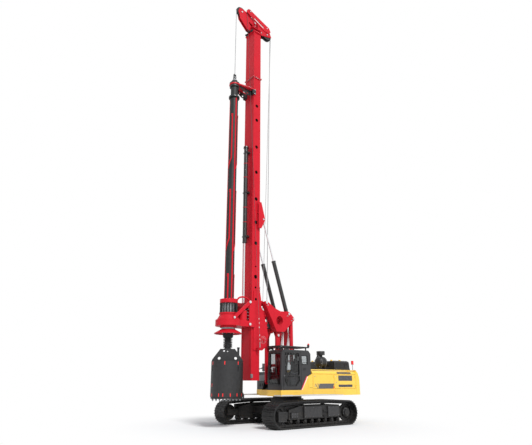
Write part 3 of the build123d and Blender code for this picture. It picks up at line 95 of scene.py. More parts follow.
# %% Set the camera
camera_data = bpy.data.cameras.new("camera")
camera_data.sensor_fit = "HORIZONTAL"
camera_data.sensor_width = 36.0
camera_data.lens = 31.28
camera_data.clip_end = 500.0
camera = bpy.data.objects.new("camera", camera_data)
bpy.context.scene.collection.objects.link(camera)
heading, pitch = -2.2651, 0.3332
look = Vector((math.cos(heading) * math.cos(pitch), math.sin(heading) * math.cos(pitch), math.sin(pitch)))
camera.matrix_world = (Matrix.Translation((15.919, 17.8205, 1.8772))
                       @ look.to_track_quat("-Z", "Y").to_matrix().to_4x4())
bpy.context.scene.camera = camera
print("camera looks along", [round(v, 3) for v in look])

# %% [markdown]
# ## Light and floor
# A product picture has a white ground and soft light. One broad sun comes from the cab's side, and
# the sky fills the shadows. The white that the camera sees is set with Light Path, so that it adds
# no light to the paint. The floor is lit only near the machine, where the shadow lies, and turns
# into the same white further out.


# %% Sky, sun and floor
def math_node(nodes, operation):
    node = nodes.new("ShaderNodeMath")
    node.operation = operation
    return node


def light_path_seen(nodes, links):
    """1 for rays from the camera, from gloss and through glass, otherwise 0."""
    path = nodes.new("ShaderNodeLightPath")
    first = math_node(nodes, "MAXIMUM")
    second = math_node(nodes, "MAXIMUM")
    links.new(path.outputs["Is Camera Ray"], first.inputs[0])
    links.new(path.outputs["Is Glossy Ray"], first.inputs[1])
    links.new(first.outputs[0], second.inputs[0])
    links.new(path.outputs["Is Transmission Ray"], second.inputs[1])
    return second.outputs[0]


world = bpy.data.worlds.new("studio_sky")
bpy.context.scene.world = world
world.use_nodes = True
sky, sky_links = world.node_tree.nodes, world.node_tree.links
sky.clear()
fill = sky.new("ShaderNodeBackground")
fill.inputs["Color"].default_value = (0.93, 0.96, 1.0, 1.0)
fill.inputs["Strength"].default_value = 0.55
white = sky.new("ShaderNodeBackground")
white.inputs["Color"].default_value = (1.0, 1.0, 1.0, 1.0)
white.inputs["Strength"].default_value = 1.0
sky_mix = sky.new("ShaderNodeMixShader")
sky_out = sky.new("ShaderNodeOutputWorld")
sky_links.new(light_path_seen(sky, sky_links), sky_mix.inputs[0])
sky_links.new(fill.outputs[0], sky_mix.inputs[1])
sky_links.new(white.outputs[0], sky_mix.inputs[2])
sky_links.new(sky_mix.outputs[0], sky_out.inputs["Surface"])

sun_data = bpy.data.lights.new("soft_sun", "SUN")
sun_data.energy = 2.7
sun_data.angle = math.radians(16)
sun = bpy.data.objects.new("soft_sun", sun_data)
sun.rotation_euler = Vector((-0.22, -0.74, -0.64)).to_track_quat("-Z", "Y").to_euler()
bpy.context.scene.collection.objects.link(sun)

floor_material = bpy.data.materials.new("studio_floor")
floor_material.use_nodes = True
ground, ground_links = floor_material.node_tree.nodes, floor_material.node_tree.links
ground.clear()
matt = ground.new("ShaderNodeBsdfDiffuse")
matt.inputs["Color"].default_value = (0.9, 0.9, 0.9, 1.0)
glow = ground.new("ShaderNodeEmission")
glow.inputs["Color"].default_value = (1.0, 1.0, 1.0, 1.0)
where = ground.new("ShaderNodeTexCoord")
reach = ground.new("ShaderNodeVectorMath")
reach.operation = "LENGTH"
fade = ground.new("ShaderNodeMapRange")
fade.interpolation_type = "SMOOTHSTEP"
fade.inputs["From Min"].default_value = 3.6
fade.inputs["From Max"].default_value = 8.5
both = math_node(ground, "MULTIPLY")
ground_mix = ground.new("ShaderNodeMixShader")
ground_out = ground.new("ShaderNodeOutputMaterial")
ground_links.new(where.outputs["Object"], reach.inputs[0])
ground_links.new(reach.outputs["Value"], fade.inputs["Value"])
ground_links.new(fade.outputs["Result"], both.inputs[0])
ground_links.new(light_path_seen(ground, ground_links), both.inputs[1])
ground_links.new(both.outputs[0], ground_mix.inputs[0])
ground_links.new(matt.outputs[0], ground_mix.inputs[1])
ground_links.new(glow.outputs[0], ground_mix.inputs[2])
ground_links.new(ground_mix.outputs[0], ground_out.inputs["Surface"])

bpy.ops.mesh.primitive_plane_add(size=400, location=(0, 0, 0))
floor = bpy.context.object
floor.name = "studio_floor"
floor.data.materials.append(floor_material)
bpy.context.scene.view_settings.view_transform = "Standard"

# %% [markdown]
# ## Effects that several finishes share
# Real paint is never one flat tone. Three small node groups give what the finishes below have in
# common: a slow change of tone over a panel, dust that settles low down, and a fine relief for
# Bump. Each group only puts out colours and values, and every material keeps its own Principled
# shader.


# %% Node groups
def new_group(name, inputs, outputs):
    """Empty shader group; inputs and outputs are (name, socket type, default)."""
    group = bpy.data.node_groups.new(name, "ShaderNodeTree")
    for label, kind, default in inputs:
        socket = group.interface.new_socket(label, in_out="INPUT", socket_type=kind)
        socket.default_value = default
    for label, kind in outputs:
        group.interface.new_socket(label, in_out="OUTPUT", socket_type=kind)
    return group, group.nodes.new("NodeGroupInput"), group.nodes.new("NodeGroupOutput")


def noise_node(nodes, links, scale, detail=3.0, coordinate=None):
    """Noise on Object coordinates at a scale per metre."""
    if coordinate is None:
        coordinate = nodes.new("ShaderNodeTexCoord").outputs["Object"]
    noise = nodes.new("ShaderNodeTexNoise")
    noise.inputs["Scale"].default_value = scale
    noise.inputs["Detail"].default_value = detail
    links.new(coordinate, noise.inputs["Vector"])
    return noise


def make_tone_group():
    """Colour that drifts slowly over a panel and is faintly blotched."""
    group, into, out = new_group("panel_tone", [("Colour", "NodeSocketColor", (0.5, 0.5, 0.5, 1)),
                                                ("Amount", "NodeSocketFloat", 0.1)],
                                 [("Colour", "NodeSocketColor"), ("Mask", "NodeSocketFloat")])
    nodes, links = group.nodes, group.links
    broad = noise_node(nodes, links, 0.7, 2.0)
    fine = noise_node(nodes, links, 9.0, 4.0)
    both_noises = math_node(nodes, "MULTIPLY")
    links.new(broad.outputs["Fac"], both_noises.inputs[0])
    links.new(fine.outputs["Fac"], both_noises.inputs[1])
    centred = nodes.new("ShaderNodeMapRange")
    centred.inputs["From Min"].default_value = 0.12
    centred.inputs["From Max"].default_value = 0.4
    centred.inputs["To Min"].default_value = 1.0
    centred.inputs["To Max"].default_value = -1.0
    links.new(both_noises.outputs[0], centred.inputs["Value"])
    scaled = math_node(nodes, "MULTIPLY_ADD")
    scaled.inputs[2].default_value = 1.0
    links.new(centred.outputs["Result"], scaled.inputs[0])
    links.new(into.outputs["Amount"], scaled.inputs[1])
    tint = nodes.new("ShaderNodeVectorMath")
    tint.operation = "SCALE"
    links.new(into.outputs["Colour"], tint.inputs[0])
    links.new(scaled.outputs[0], tint.inputs["Scale"])
    links.new(tint.outputs[0], out.inputs["Colour"])
    links.new(fine.outputs["Fac"], out.inputs["Mask"])
    return group


def make_dust_group():
    """Dry soil that lies in patches, more of it the lower a face is."""
    group, into, out = new_group("low_dust", [("Colour", "NodeSocketColor", (0.5, 0.5, 0.5, 1)),
                                              ("Dust", "NodeSocketColor", (0.2, 0.17, 0.13, 1)),
                                              ("Height", "NodeSocketFloat", 1.0),
                                              ("Amount", "NodeSocketFloat", 0.5)],
                                 [("Colour", "NodeSocketColor"), ("Mask", "NodeSocketFloat")])
    nodes, links = group.nodes, group.links
    where_is = nodes.new("ShaderNodeTexCoord")
    parts = nodes.new("ShaderNodeSeparateXYZ")
    links.new(where_is.outputs["Object"], parts.inputs[0])
    share = math_node(nodes, "DIVIDE")
    links.new(parts.outputs["Z"], share.inputs[0])
    links.new(into.outputs["Height"], share.inputs[1])
    low = nodes.new("ShaderNodeMapRange")
    low.interpolation_type = "SMOOTHSTEP"
    low.inputs["To Min"].default_value = 1.0
    low.inputs["To Max"].default_value = 0.0
    links.new(share.outputs[0], low.inputs["Value"])
    grains = noise_node(nodes, links, 14.0, 6.0, where_is.outputs["Object"])
    patch = nodes.new("ShaderNodeMapRange")
    patch.inputs["From Min"].default_value = 0.42
    patch.inputs["From Max"].default_value = 0.68
    links.new(grains.outputs["Fac"], patch.inputs["Value"])
    mask = math_node(nodes, "MULTIPLY")
    links.new(low.outputs["Result"], mask.inputs[0])
    links.new(patch.outputs["Result"], mask.inputs[1])
    amount = math_node(nodes, "MULTIPLY")
    links.new(mask.outputs[0], amount.inputs[0])
    links.new(into.outputs["Amount"], amount.inputs[1])
    mix = nodes.new("ShaderNodeMix")
    mix.data_type = "RGBA"
    links.new(amount.outputs[0], mix.inputs["Factor"])
    links.new(into.outputs["Colour"], mix.inputs["A"])
    links.new(into.outputs["Dust"], mix.inputs["B"])
    links.new(mix.outputs["Result"], out.inputs["Colour"])
    links.new(amount.outputs[0], out.inputs["Mask"])
    return group


def make_relief_group():
    """Height for Bump: fine grain on a slower swell."""
    group, into, out = new_group("fine_relief", [("Grain", "NodeSocketFloat", 300.0),
                                                 ("Swell", "NodeSocketFloat", 20.0)],
                                 [("Height", "NodeSocketFloat")])
    nodes, links = group.nodes, group.links
    grain = noise_node(nodes, links, 300.0, 2.0)
    swell = noise_node(nodes, links, 20.0, 2.0)
    links.new(into.outputs["Grain"], grain.inputs["Scale"])
    links.new(into.outputs["Swell"], swell.inputs["Scale"])
    add = math_node(nodes, "ADD")
    links.new(grain.outputs["Fac"], add.inputs[0])
    links.new(swell.outputs["Fac"], add.inputs[1])
    links.new(add.outputs[0], out.inputs["Height"])
    return group


tone_group, dust_group, relief_group = make_tone_group(), make_dust_group(), make_relief_group()
print("node groups:", [group.name for group in bpy.data.node_groups])

# %% [markdown]
# ## Finishes
# Each finish is one row of a table: its colour, how rough it is, how much of a clear coat lies on
# it, how far its tone drifts, how much soil it carries and how strong its relief is. Single values
# go straight onto the Principled shader's own sockets.

# %% The finishes
finishes = {}


def group_node(nodes, group, **values):
    node = nodes.new("ShaderNodeGroup")
    node.node_tree = group
    for label, value in values.items():
        node.inputs[label].default_value = value
    return node


def make_finish(name, colour, rough, metal=0.0, coat=0.0, tone=0.1, dust=0.0, dust_height=1.2, grain=250.0,
                swell=6.0, relief=0.02, specular=0.5):
    """Painted or bare surface with a drifting tone, soil low down and a fine relief."""
    material = bpy.data.materials.new(name)
    material.use_nodes = True
    material.diffuse_color = (*colour, 1.0)
    nodes, links = material.node_tree.nodes, material.node_tree.links
    shader = nodes["Principled BSDF"]
    shader.inputs["Metallic"].default_value = metal
    shader.inputs["Coat Weight"].default_value = coat
    shader.inputs["Coat Roughness"].default_value = 0.06
    shader.inputs["Specular IOR Level"].default_value = specular
    toned = group_node(nodes, tone_group, Colour=(*colour, 1.0), Amount=tone)
    dusty = group_node(nodes, dust_group, Height=dust_height, Amount=dust)
    links.new(toned.outputs["Colour"], dusty.inputs["Colour"])
    links.new(dusty.outputs["Colour"], shader.inputs["Base Color"])
    roughness = nodes.new("ShaderNodeMapRange")
    roughness.inputs["To Min"].default_value = max(0.02, rough - 0.06)
    roughness.inputs["To Max"].default_value = min(1.0, rough + 0.1)
    links.new(toned.outputs["Mask"], roughness.inputs["Value"])
    matted = math_node(nodes, "MULTIPLY_ADD")
    matted.inputs[1].default_value = 0.4
    links.new(dusty.outputs["Mask"], matted.inputs[0])
    links.new(roughness.outputs["Result"], matted.inputs[2])
    links.new(matted.outputs[0], shader.inputs["Roughness"])
    height = group_node(nodes, relief_group, Grain=grain, Swell=swell)
    bump = nodes.new("ShaderNodeBump")
    bump.inputs["Strength"].default_value = relief
    bump.inputs["Distance"].default_value = 0.004
    links.new(height.outputs["Height"], bump.inputs["Height"])
    links.new(bump.outputs["Normal"], shader.inputs["Normal"])
    finishes[name] = material


RED, YELLOW, BLACK = (0.54, 0.012, 0.024), (0.9, 0.56, 0.065), (0.02, 0.02, 0.021)
make_finish("red_enamel", RED, 0.45, tone=0.07, dust=0.05, relief=0.03, specular=0.15)
# Near-black painted shade, for the insides of holes and slots.
make_finish("painted_hole_shade", (0.002, 0.002, 0.002), 0.8, tone=0.1, specular=0.05)
make_finish("yellow_enamel", YELLOW, 0.32, coat=0.3, tone=0.05, dust=0.05, relief=0.03)
make_finish("black_satin", BLACK, 0.42, tone=0.2, dust=0.06, relief=0.05, specular=0.35)
make_finish("cab_grey", (0.028, 0.028, 0.03), 0.38, coat=0.1, tone=0.1, relief=0.03, specular=0.35)
make_finish("barrel_black", (0.017, 0.018, 0.018), 0.3, coat=0.2, tone=0.15, relief=0.03)
make_finish("tool_black", (0.023, 0.023, 0.024), 0.5, tone=0.25, dust=0.12, dust_height=2.4, grain=90.0,
            relief=0.12, specular=0.3)
make_finish("track_steel", (0.016, 0.016, 0.017), 0.45, metal=0.25, tone=0.35, dust=0.12, grain=70.0,
            relief=0.18, specular=0.4)
make_finish("frame_black", (0.014, 0.014, 0.015), 0.48, tone=0.25, dust=0.14, dust_height=1.3, grain=120.0,
            relief=0.1, specular=0.35)
make_finish("rod_chrome", (0.82, 0.83, 0.85), 0.14, metal=1.0, tone=0.03, grain=600.0, relief=0.01)
make_finish("pin_zinc", (0.6, 0.61, 0.62), 0.4, metal=0.3, tone=0.15, grain=180.0, relief=0.08)
make_finish("steel_grey", (0.3, 0.31, 0.32), 0.42, metal=0.6, tone=0.2, grain=150.0, relief=0.08)
make_finish("rope_steel", (0.3, 0.305, 0.31), 0.6, tone=0.25, grain=260.0, relief=0.3, specular=0.3)
make_finish("rope_dark", (0.07, 0.07, 0.075), 0.6, tone=0.25, grain=260.0, relief=0.3, specular=0.3)
make_finish("hose_rubber", (0.012, 0.012, 0.012), 0.6, tone=0.2, grain=240.0, relief=0.15, specular=0.3)
make_finish("rubber_black", (0.01, 0.01, 0.01), 0.65, tone=0.15, grain=200.0, relief=0.1, specular=0.25)
make_finish("grille_black", (0.012, 0.012, 0.013), 0.55, tone=0.2, grain=120.0, relief=0.1)
make_finish("stripe_red", (0.86, 0.008, 0.01), 0.3, coat=0.2, tone=0.05, relief=0.02)
make_finish("stripe_white", (0.86, 0.86, 0.86), 0.35, coat=0.15, tone=0.04, relief=0.02)
make_finish("plastic_grey", (0.1, 0.1, 0.105), 0.5, tone=0.12, grain=320.0, relief=0.12)
make_finish("cover_grey", (0.03, 0.03, 0.032), 0.5, tone=0.2, dust=0.12, grain=120.0, relief=0.08,
            specular=0.35)
make_finish("panel_grey", (0.2, 0.2, 0.205), 0.5, tone=0.12, grain=200.0, relief=0.06, specular=0.3)
# Pale grey of the painted highlight along the skirt's lower edge.
make_finish("painted_highlight_grey", (0.62, 0.62, 0.6), 0.4, tone=0.08, relief=0.03)
make_finish("kelly_black", (0.02, 0.021, 0.021), 0.5, tone=0.2, relief=0.05, specular=0.25)
make_finish("cloth_grey", (0.06, 0.06, 0.065), 0.85, tone=0.2, grain=500.0, relief=0.4, specular=0.2)
print(len(finishes), "finishes")

# %% [markdown]
# Some castings carry two colours, such as the black spring rods between red rings. A second colour
# between two heights covers them. Glass is a plain clear shell with a grey tint.


# %% Two-tone finishes, glass and lamps
def add_band(name, second, low, high):
    """Give a finish a second colour between two heights of the drawing."""
    material = finishes[name]
    nodes, links = material.node_tree.nodes, material.node_tree.links
    toned = next(n for n in nodes if n.type == "GROUP" and n.node_tree == tone_group)
    parts = nodes.new("ShaderNodeSeparateXYZ")
    links.new(nodes.new("ShaderNodeTexCoord").outputs["Object"], parts.inputs[0])
    tests = ("GREATER_THAN", "LESS_THAN", "MULTIPLY")
    above, below, both_tests = (math_node(nodes, operation) for operation in tests)
    above.inputs[1].default_value, below.inputs[1].default_value = low / 1000, high / 1000
    links.new(parts.outputs["Z"], above.inputs[0])
    links.new(parts.outputs["Z"], below.inputs[0])
    links.new(above.outputs[0], both_tests.inputs[0])
    links.new(below.outputs[0], both_tests.inputs[1])
    mix = nodes.new("ShaderNodeMix")
    mix.data_type = "RGBA"
    mix.inputs["A"].default_value = toned.inputs["Colour"].default_value
    mix.inputs["B"].default_value = (*second, 1.0)
    links.new(both_tests.outputs[0], mix.inputs["Factor"])
    links.new(mix.outputs["Result"], toned.inputs["Colour"])


def make_glass(name, tint, rough):
    material = bpy.data.materials.new(name)
    material.use_nodes = True
    material.diffuse_color = (*tint, 0.4)
    nodes, links = material.node_tree.nodes, material.node_tree.links
    shader = nodes["Principled BSDF"]
    shader.inputs["Transmission Weight"].default_value = 1.0
    shader.inputs["IOR"].default_value = 1.1
    shader.inputs["Coat Weight"].default_value = 0.5
    toned = group_node(nodes, tone_group, Colour=(*tint, 1.0), Amount=0.03)
    links.new(toned.outputs["Colour"], shader.inputs["Base Color"])
    haze = nodes.new("ShaderNodeMapRange")
    haze.inputs["To Min"].default_value = rough
    haze.inputs["To Max"].default_value = rough + 0.03
    links.new(toned.outputs["Mask"], haze.inputs["Value"])
    links.new(haze.outputs["Result"], shader.inputs["Roughness"])
    finishes[name] = material


make_finish("cage_red", RED, 0.45, tone=0.08, relief=0.03, specular=0.15)
add_band("cage_red", BLACK, 4935, 5372)
make_finish("guide_black", BLACK, 0.42, tone=0.15, relief=0.05, specular=0.35)
add_band("guide_black", RED, 17398, 17550)
make_finish("head_red", RED, 0.45, tone=0.07, relief=0.03, specular=0.15)
add_band("head_red", BLACK, 21612, 21668)
make_finish("beacon_red", (0.015, 0.015, 0.015), 0.25, coat=0.4, tone=0.05, relief=0.02)
add_band("beacon_red", (0.85, 0.008, 0.01), 2768, 3000)
make_glass("window_glass", (0.62, 0.64, 0.65), 0.02)
make_glass("lamp_glass", (0.85, 0.87, 0.88), 0.05)
print("now", len(finishes), "finishes")

# %% [markdown]
# ## Paint on the CAD nodes
# A CAD node keeps its shape and its place. It only gets a better finish, through its own material
# slots.

# %% Dress the nodes
node_finishes = {
    "head_red": "mast_head",
    "red_enamel": "boom link triangle mast_lower mast_middle mast_upper carriage rotary_housing "
                  "spoil_dish kelly_keys",
    "yellow_enamel": "deck_skirt counterweight house access_door_front_left access_door_rear_left "
                     "access_door_front_right access_door_rear_right",
    "black_satin": "deck engine_hood air_cleaner cab_guard mirror front_sheave rear_sheave aux_sheave "
                   "engine main_drum aux_drum",
    "cab_grey": "cab cab_door side_box",
    "barrel_black": "luff_barrels mast_barrels crowd_barrel",
    "kelly_black": "kelly_outer rope_swivel",
    "tool_black": "kelly_inner bucket bucket_door",
    "frame_black": "track_frame_left track_frame_right carbody slew_ring idlers sprockets",
    "track_steel": "track_left track_right",
    "steel_grey": "drive_sleeve",
    "rod_chrome": "luff_rods mast_rods crowd_rod mast_pivot",
    "cage_red": "spring_cage",
    "guide_black": "kelly_guide",
    "beacon_red": "beacon",
    "window_glass": "cab_glass cab_door_glass",
    "cloth_grey": "cab_seat",
}
for finish, names in node_finishes.items():
    for name in names.split():
        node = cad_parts[name]
        for number in range(len(node.material_slots)):
            node.material_slots[number].link = "OBJECT"
            node.material_slots[number].material = finishes[finish]
undressed = set(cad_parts) - set(" ".join(node_finishes.values()).split())
print("nodes without a finish:", sorted(undressed))

# %% [markdown]
# ## A small set of shapes
# Most trim on a machine is one of a few kinds: a folded plate, a turned part, a bent tube, a block
# with its edges broken, or a bolt. Each kind gets one short function, written once here, so that
# the cells below only hold the sizes. Sizes are the drawing's millimetres.


# %% Blocks, bars and bolts
def hold(piece, name, finish, body, smooth=40):
    """Name a piece, give it its finish and let it move with a body."""
    piece.name = name
    piece.data.name = name
    settle(piece)
    bpy.ops.object.shade_smooth_by_angle(angle=math.radians(smooth))
    piece.data.materials.clear()
    piece.data.materials.append(finishes[finish])
    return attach(piece, body)


def soft_block(x, y, z, edge=6.0):
    """Block between low and high values on each axis, with its edges broken."""
    low, high = spot(x[0], y[0], z[0]), spot(x[1], y[1], z[1])
    bpy.ops.object.select_all(action="DESELECT")
    bpy.ops.mesh.primitive_cube_add(size=1, location=(low + high) / 2)
    piece = bpy.context.object
    piece.scale = [abs(v) for v in high - low]
    settle(piece)
    with_modifier(piece, "BEVEL", width=edge / 1000, segments=2, limit_method="ANGLE")
    return piece


def round_bar(start, end, radius, edge=3.0, sides=20):
    """Turned bar between two places, with its rims broken."""
    a, b = spot(*start), spot(*end)
    bpy.ops.object.select_all(action="DESELECT")
    bpy.ops.mesh.primitive_cylinder_add(vertices=sides, radius=radius / 1000, depth=(b - a).length)
    piece = bpy.context.object
    turn = (b - a).to_track_quat("Z", "Y").to_matrix().to_4x4()
    piece.matrix_world = Matrix.Translation((a + b) / 2) @ turn
    settle(piece)
    with_modifier(piece, "BEVEL", width=edge / 1000, segments=2, limit_method="ANGLE")
    return piece


def copies(first, placings):
    """Put a copy of the first piece, with its own mesh, at each placing, and join them."""
    made = []
    for placing in placings:
        other = first.copy()
        other.data = first.data.copy()
        bpy.context.scene.collection.objects.link(other)
        other.matrix_world = placing
        made.append(other)
    bpy.data.objects.remove(first)
    return join(made)


def aimed(place, direction):
    """Placing at a place with +Z along a direction."""
    turn = Vector(direction).to_track_quat("Z", "Y").to_matrix().to_4x4()
    return Matrix.Translation(spot(*place)) @ turn


def bolts(name, places, direction, size, finish, body):
    """Hexagon heads on washers. The first is modelled at the origin and the others are its copies."""
    bpy.ops.object.select_all(action="DESELECT")
    bpy.ops.mesh.primitive_cylinder_add(vertices=12, radius=size * 0.9 / 1000, depth=size * 0.3 / 1000)
    washer = bpy.context.object
    bpy.ops.object.select_all(action="DESELECT")
    bpy.ops.mesh.primitive_cylinder_add(vertices=6, radius=size * 0.62 / 1000, depth=size * 0.7 / 1000,
                                        location=(0, 0, size * 0.5 / 1000))
    head = bpy.context.object
    with_modifier(head, "BEVEL", width=size * 0.06 / 1000, segments=1, limit_method="ANGLE")
    first = join([washer, head])
    settle(first)
    return hold(copies(first, [aimed(place, direction) for place in places]), name, finish, body, 30)


def bolts_both_sides(name, places, size, body):
    """Bolts on the left, and the same ones mirrored to the right."""
    bolts(name + "_left", places, (0, 1, 0), size, "pin_zinc", body)
    bolts(name + "_right", [(x, -y, z) for x, y, z in places], (0, -1, 0), size, "pin_zinc", body)


# %% Flat plates, turned shapes and tubes
def flat_line(rings, closed=True):
    """Curve of straight runs in its own plane, from rings of points in millimetres."""
    curve = bpy.data.curves.new("outline", "CURVE")
    curve.dimensions = "2D" if closed else "3D"
    for ring in rings:
        spline = curve.splines.new("POLY")
        spline.points.add(len(ring) - 1)
        for point, (u, v) in zip(spline.points, ring):
            point.co = (u / 1000, v / 1000, 0, 1)
        spline.use_cyclic_u = closed
    piece = bpy.data.objects.new("outline", curve)
    bpy.context.scene.collection.objects.link(piece)
    return piece


FACING = {
    "side": Matrix(((1, 0, 0, 0), (0, 0, -1, 0), (0, 1, 0, 0), (0, 0, 0, 1))),
    "front": Matrix(((0, 0, 1, 0), (1, 0, 0, 0), (0, 1, 0, 0), (0, 0, 0, 1))),
    "plan": Matrix.Identity(4),
}


def plate_at(facing, at, rings, depth, edge=2.0):
    """Plate with broken edges, from its outline and holes. Its middle lies at a value on its own axis."""
    piece = flat_line(rings)
    curve = piece.data
    curve.fill_mode = "BOTH"
    curve.extrude = max(depth / 2 - edge, 0.05) / 1000
    curve.bevel_depth = edge / 1000
    curve.bevel_resolution = 1
    curve.offset = -edge / 1000
    select_only(piece)
    bpy.ops.object.convert(target="MESH")
    piece = bpy.context.object
    where_to = {"side": (0, at, 0), "front": (at, 0, 0), "plan": (0, 0, at)}[facing]
    piece.matrix_world = Matrix.Translation(spot(*where_to)) @ FACING[facing]
    settle(piece)
    return piece


def rounded(u, v, radius, steps=4):
    """Rectangle with round corners, as a ring of points."""
    ring = []
    for cu, cv, start in ((u[1] - radius, v[1] - radius, 0), (u[0] + radius, v[1] - radius, 90),
                          (u[0] + radius, v[0] + radius, 180), (u[1] - radius, v[0] + radius, 270)):
        for step in range(steps + 1):
            angle = math.radians(start + 90 * step / steps)
            ring.append((cu + radius * math.cos(angle), cv + radius * math.sin(angle)))
    return ring


def ring_of(radius, count):
    """Places evenly round a circle, measured from its middle."""
    return [(radius * math.cos(2 * math.pi * k / count), radius * math.sin(2 * math.pi * k / count))
            for k in range(count)]


def outward(piece):
    """Merge doubles and let all faces point outwards."""
    select_only(piece)
    bpy.ops.object.mode_set(mode="EDIT")
    bpy.ops.mesh.select_all(action="SELECT")
    bpy.ops.mesh.remove_doubles(threshold=0.00005)
    bpy.ops.mesh.normals_make_consistent(inside=False)
    bpy.ops.object.mode_set(mode="OBJECT")


def turned(profile, place, direction=(0, 0, 1), steps=32):
    """A profile of (radius, height) turned about an axis through a place."""
    piece = flat_line([profile], closed=False)
    select_only(piece)
    bpy.ops.object.convert(target="MESH")
    piece = bpy.context.object
    with_modifier(piece, "SCREW", axis="Y", steps=steps, render_steps=steps, use_merge_vertices=True)
    turn = Vector((0, 1, 0)).rotation_difference(Vector(direction).normalized())
    piece.matrix_world = Matrix.Translation(spot(*place)) @ turn.to_matrix().to_4x4()
    settle(piece)
    outward(piece)
    return piece


def tube(route, radius, order=3, rings=2, steps=6):
    """Round tube on a smooth line that follows the places of its route."""
    curve = bpy.data.curves.new("tube", "CURVE")
    curve.dimensions = "3D"
    spline = curve.splines.new("NURBS")
    spline.points.add(len(route) - 1)
    for point, place in zip(spline.points, route):
        point.co = (*spot(*place), 1)
    spline.order_u = order
    spline.use_endpoint_u = True
    spline.resolution_u = steps
    curve.bevel_depth = radius / 1000
    curve.bevel_resolution = rings
    curve.use_fill_caps = True
    piece = bpy.data.objects.new("tube", curve)
    bpy.context.scene.collection.objects.link(piece)
    select_only(piece)
    bpy.ops.object.convert(target="MESH")
    return bpy.context.object


# %% [markdown]
# ## Ropes
# The main rope comes off the winch behind the mast, runs up to the rear sheave, over the head and
# down from the front sheave to the swivel. Its front part gets longer as the kelly bar goes down;
# here it is one fixed tube that hangs from the front sheave towards the guide on top of the bar.


# %% Run the ropes
PARKED_TOP, PARKED_LOW = (2808, 124, 22990), (2150, 650, 3640)


def rope(name, route, radius, body, finish="rope_steel"):
    middle = tuple((a + b) / 2 for a, b in zip(*route))
    return hold(tube([route[0], middle, route[1]], radius, order=2, rings=1, steps=2), name, finish, body)


rope("rope_rear_main", [(1170, -40, 4530), (922, -10, 22030)], 16, "mast")
rope("rope_rear_second", [(1590, 90, 3830), (962, 102, 22030)], 11, "mast")
rope("rope_head_main", [(1225, 0, 22385), (3150, 0, 23043)], 16, "mast")
rope("rope_head_second", [(1255, 104, 22350), (2570, 120, 23164)], 11, "mast")
rope("rope_parked", [PARKED_TOP, PARKED_LOW], 9, "mast", "rope_dark")
front_rope = tube([(3514, 0, 22700), (3512, 0, 20500), (3510, 0, 18190)], 16, order=2, rings=1, steps=12)
front_rope.name = "rope_front_main"
front_rope.data.materials.append(finishes["rope_steel"])
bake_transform(front_rope)

# %% [markdown]
# ## Pins
# White pin ends stand out on the red linkage. Each is a turned cap with a groove and a small bolt in
# its middle, so one profile serves them all.


# %% Turn the pin ends
FRONT_SHEAVE = (3170, 22700)


def pin_caps(name, rows):
    """Caps on both sides: rows of x, z, the face's distance from the middle, radius, body."""
    for number, (x, z, face, radius, body) in enumerate(rows):
        profile = [(0, 26), (radius * 0.28, 26), (radius * 0.3, 16), (radius * 0.62, 15),
                   (radius * 0.66, 11), (radius * 0.78, 11), (radius * 0.82, 15), (radius * 0.93, 14),
                   (radius, 8), (radius, -3), (0, -3)]
        caps = [turned(profile, (x, side * face, z), (0, side, 0), 28) for side in (1, -1)]
        hold(join(caps), f"{name}_{number + 1}", "pin_zinc", body)


pin_caps("linkage_pin", [
    (1710, 5540, 641, 62, "triangle"), (230, 5120, 601, 62, "triangle"), (-60, 4900, 601, 52, "triangle"),
    (850, 4050, 486, 60, "triangle"), (1800, 9820, 496, 50, "mast"),
    (2660, 5470, 561, 66, "rotary_head"), (3560, 4680, 561, 56, "rotary_head"),
    (2660, 4440, 561, 62, "rotary_head"),
])
pin_caps("head_pin", [
    (*FRONT_SHEAVE, 111, 52, "mast"), (2620, 22990, 206, 44, "mast"), (1280, 22030, 171, 48, "mast"),
    (2250, 22330, 191, 54, "mast"), (1300, 22470, 191, 36, "mast"), (1760, 21900, 191, 36, "mast"),
])

# %% [markdown]
# ## Bodywork
# The yellow sides have pressed louvres over the radiator, thin panel joints, locks and a coloured
# band that slants down behind the cab. A louvre is a frame with a round-cornered opening, a dark
# panel behind it and tilted slats, the first of which is copied up by an Array modifier.


# %% Louvres
BODY_SIDE = 1477
SIDES = ((1, "left"), (-1, "right"))


def louvre(name, x, z, face, side, slats, body, lean=0.0):
    """Pressed grille on a side face; lean tips its upper edge inwards, in degrees."""
    border = min(14, (z[1] - z[0]) * 0.14)
    inner = ((x[0] + border, x[1] - border), (z[0] + border, z[1] - border))
    frame_plate = plate_at("side", side * (face + 4), [rounded(x, z, 16), rounded(*inner, 8)], 12, 3)
    backing = plate_at("side", side * (face + 1), [rounded(*inner, 8)], 3, 1)
    pitch = (inner[1][1] - inner[1][0]) / slats
    slat = soft_block(inner[0], (-8, 8), (-1.5, 1.5), 1)
    slat.matrix_world = (Matrix.Translation((0, side * (face + 5) / 1000, (inner[1][0] + pitch / 2) / 1000))
                         @ Matrix.Rotation(math.radians(side * 38), 4, "X"))
    settle(slat)
    with_modifier(slat, "ARRAY", count=slats, use_relative_offset=False, use_constant_offset=True,
                  constant_offset_displace=(0, 0, pitch / 1000))
    whole = join([frame_plate, backing, slat])
    whole.matrix_world = (Matrix.Translation(spot(0, side * face, z[0]))
                          @ Matrix.Rotation(math.radians(side * lean), 4, "X")
                          @ Matrix.Translation(-spot(0, side * face, z[0])))
    return hold(whole, name, "plastic_grey", body, 30)


for side, word in SIDES:
    rear_door = "access_door_rear_" + word
    louvre("louvre_tall_" + word, (-3240, -2210), (1960, 2210), BODY_SIDE, side, 9, rear_door)
    louvre("louvre_low_" + word, (-3240, -2210), (1665, 1780), BODY_SIDE, side, 4, rear_door)
    louvre("louvre_top_" + word, (-3180, -2130), (2292, 2376), BODY_SIDE - 3, side, 3, "upper", 26)

# %% [markdown]
# Panel joints are shallow black lines. A thin rounded strip that stands a millimetre proud reads the
# same from any distance and is simpler than cutting the sheet.


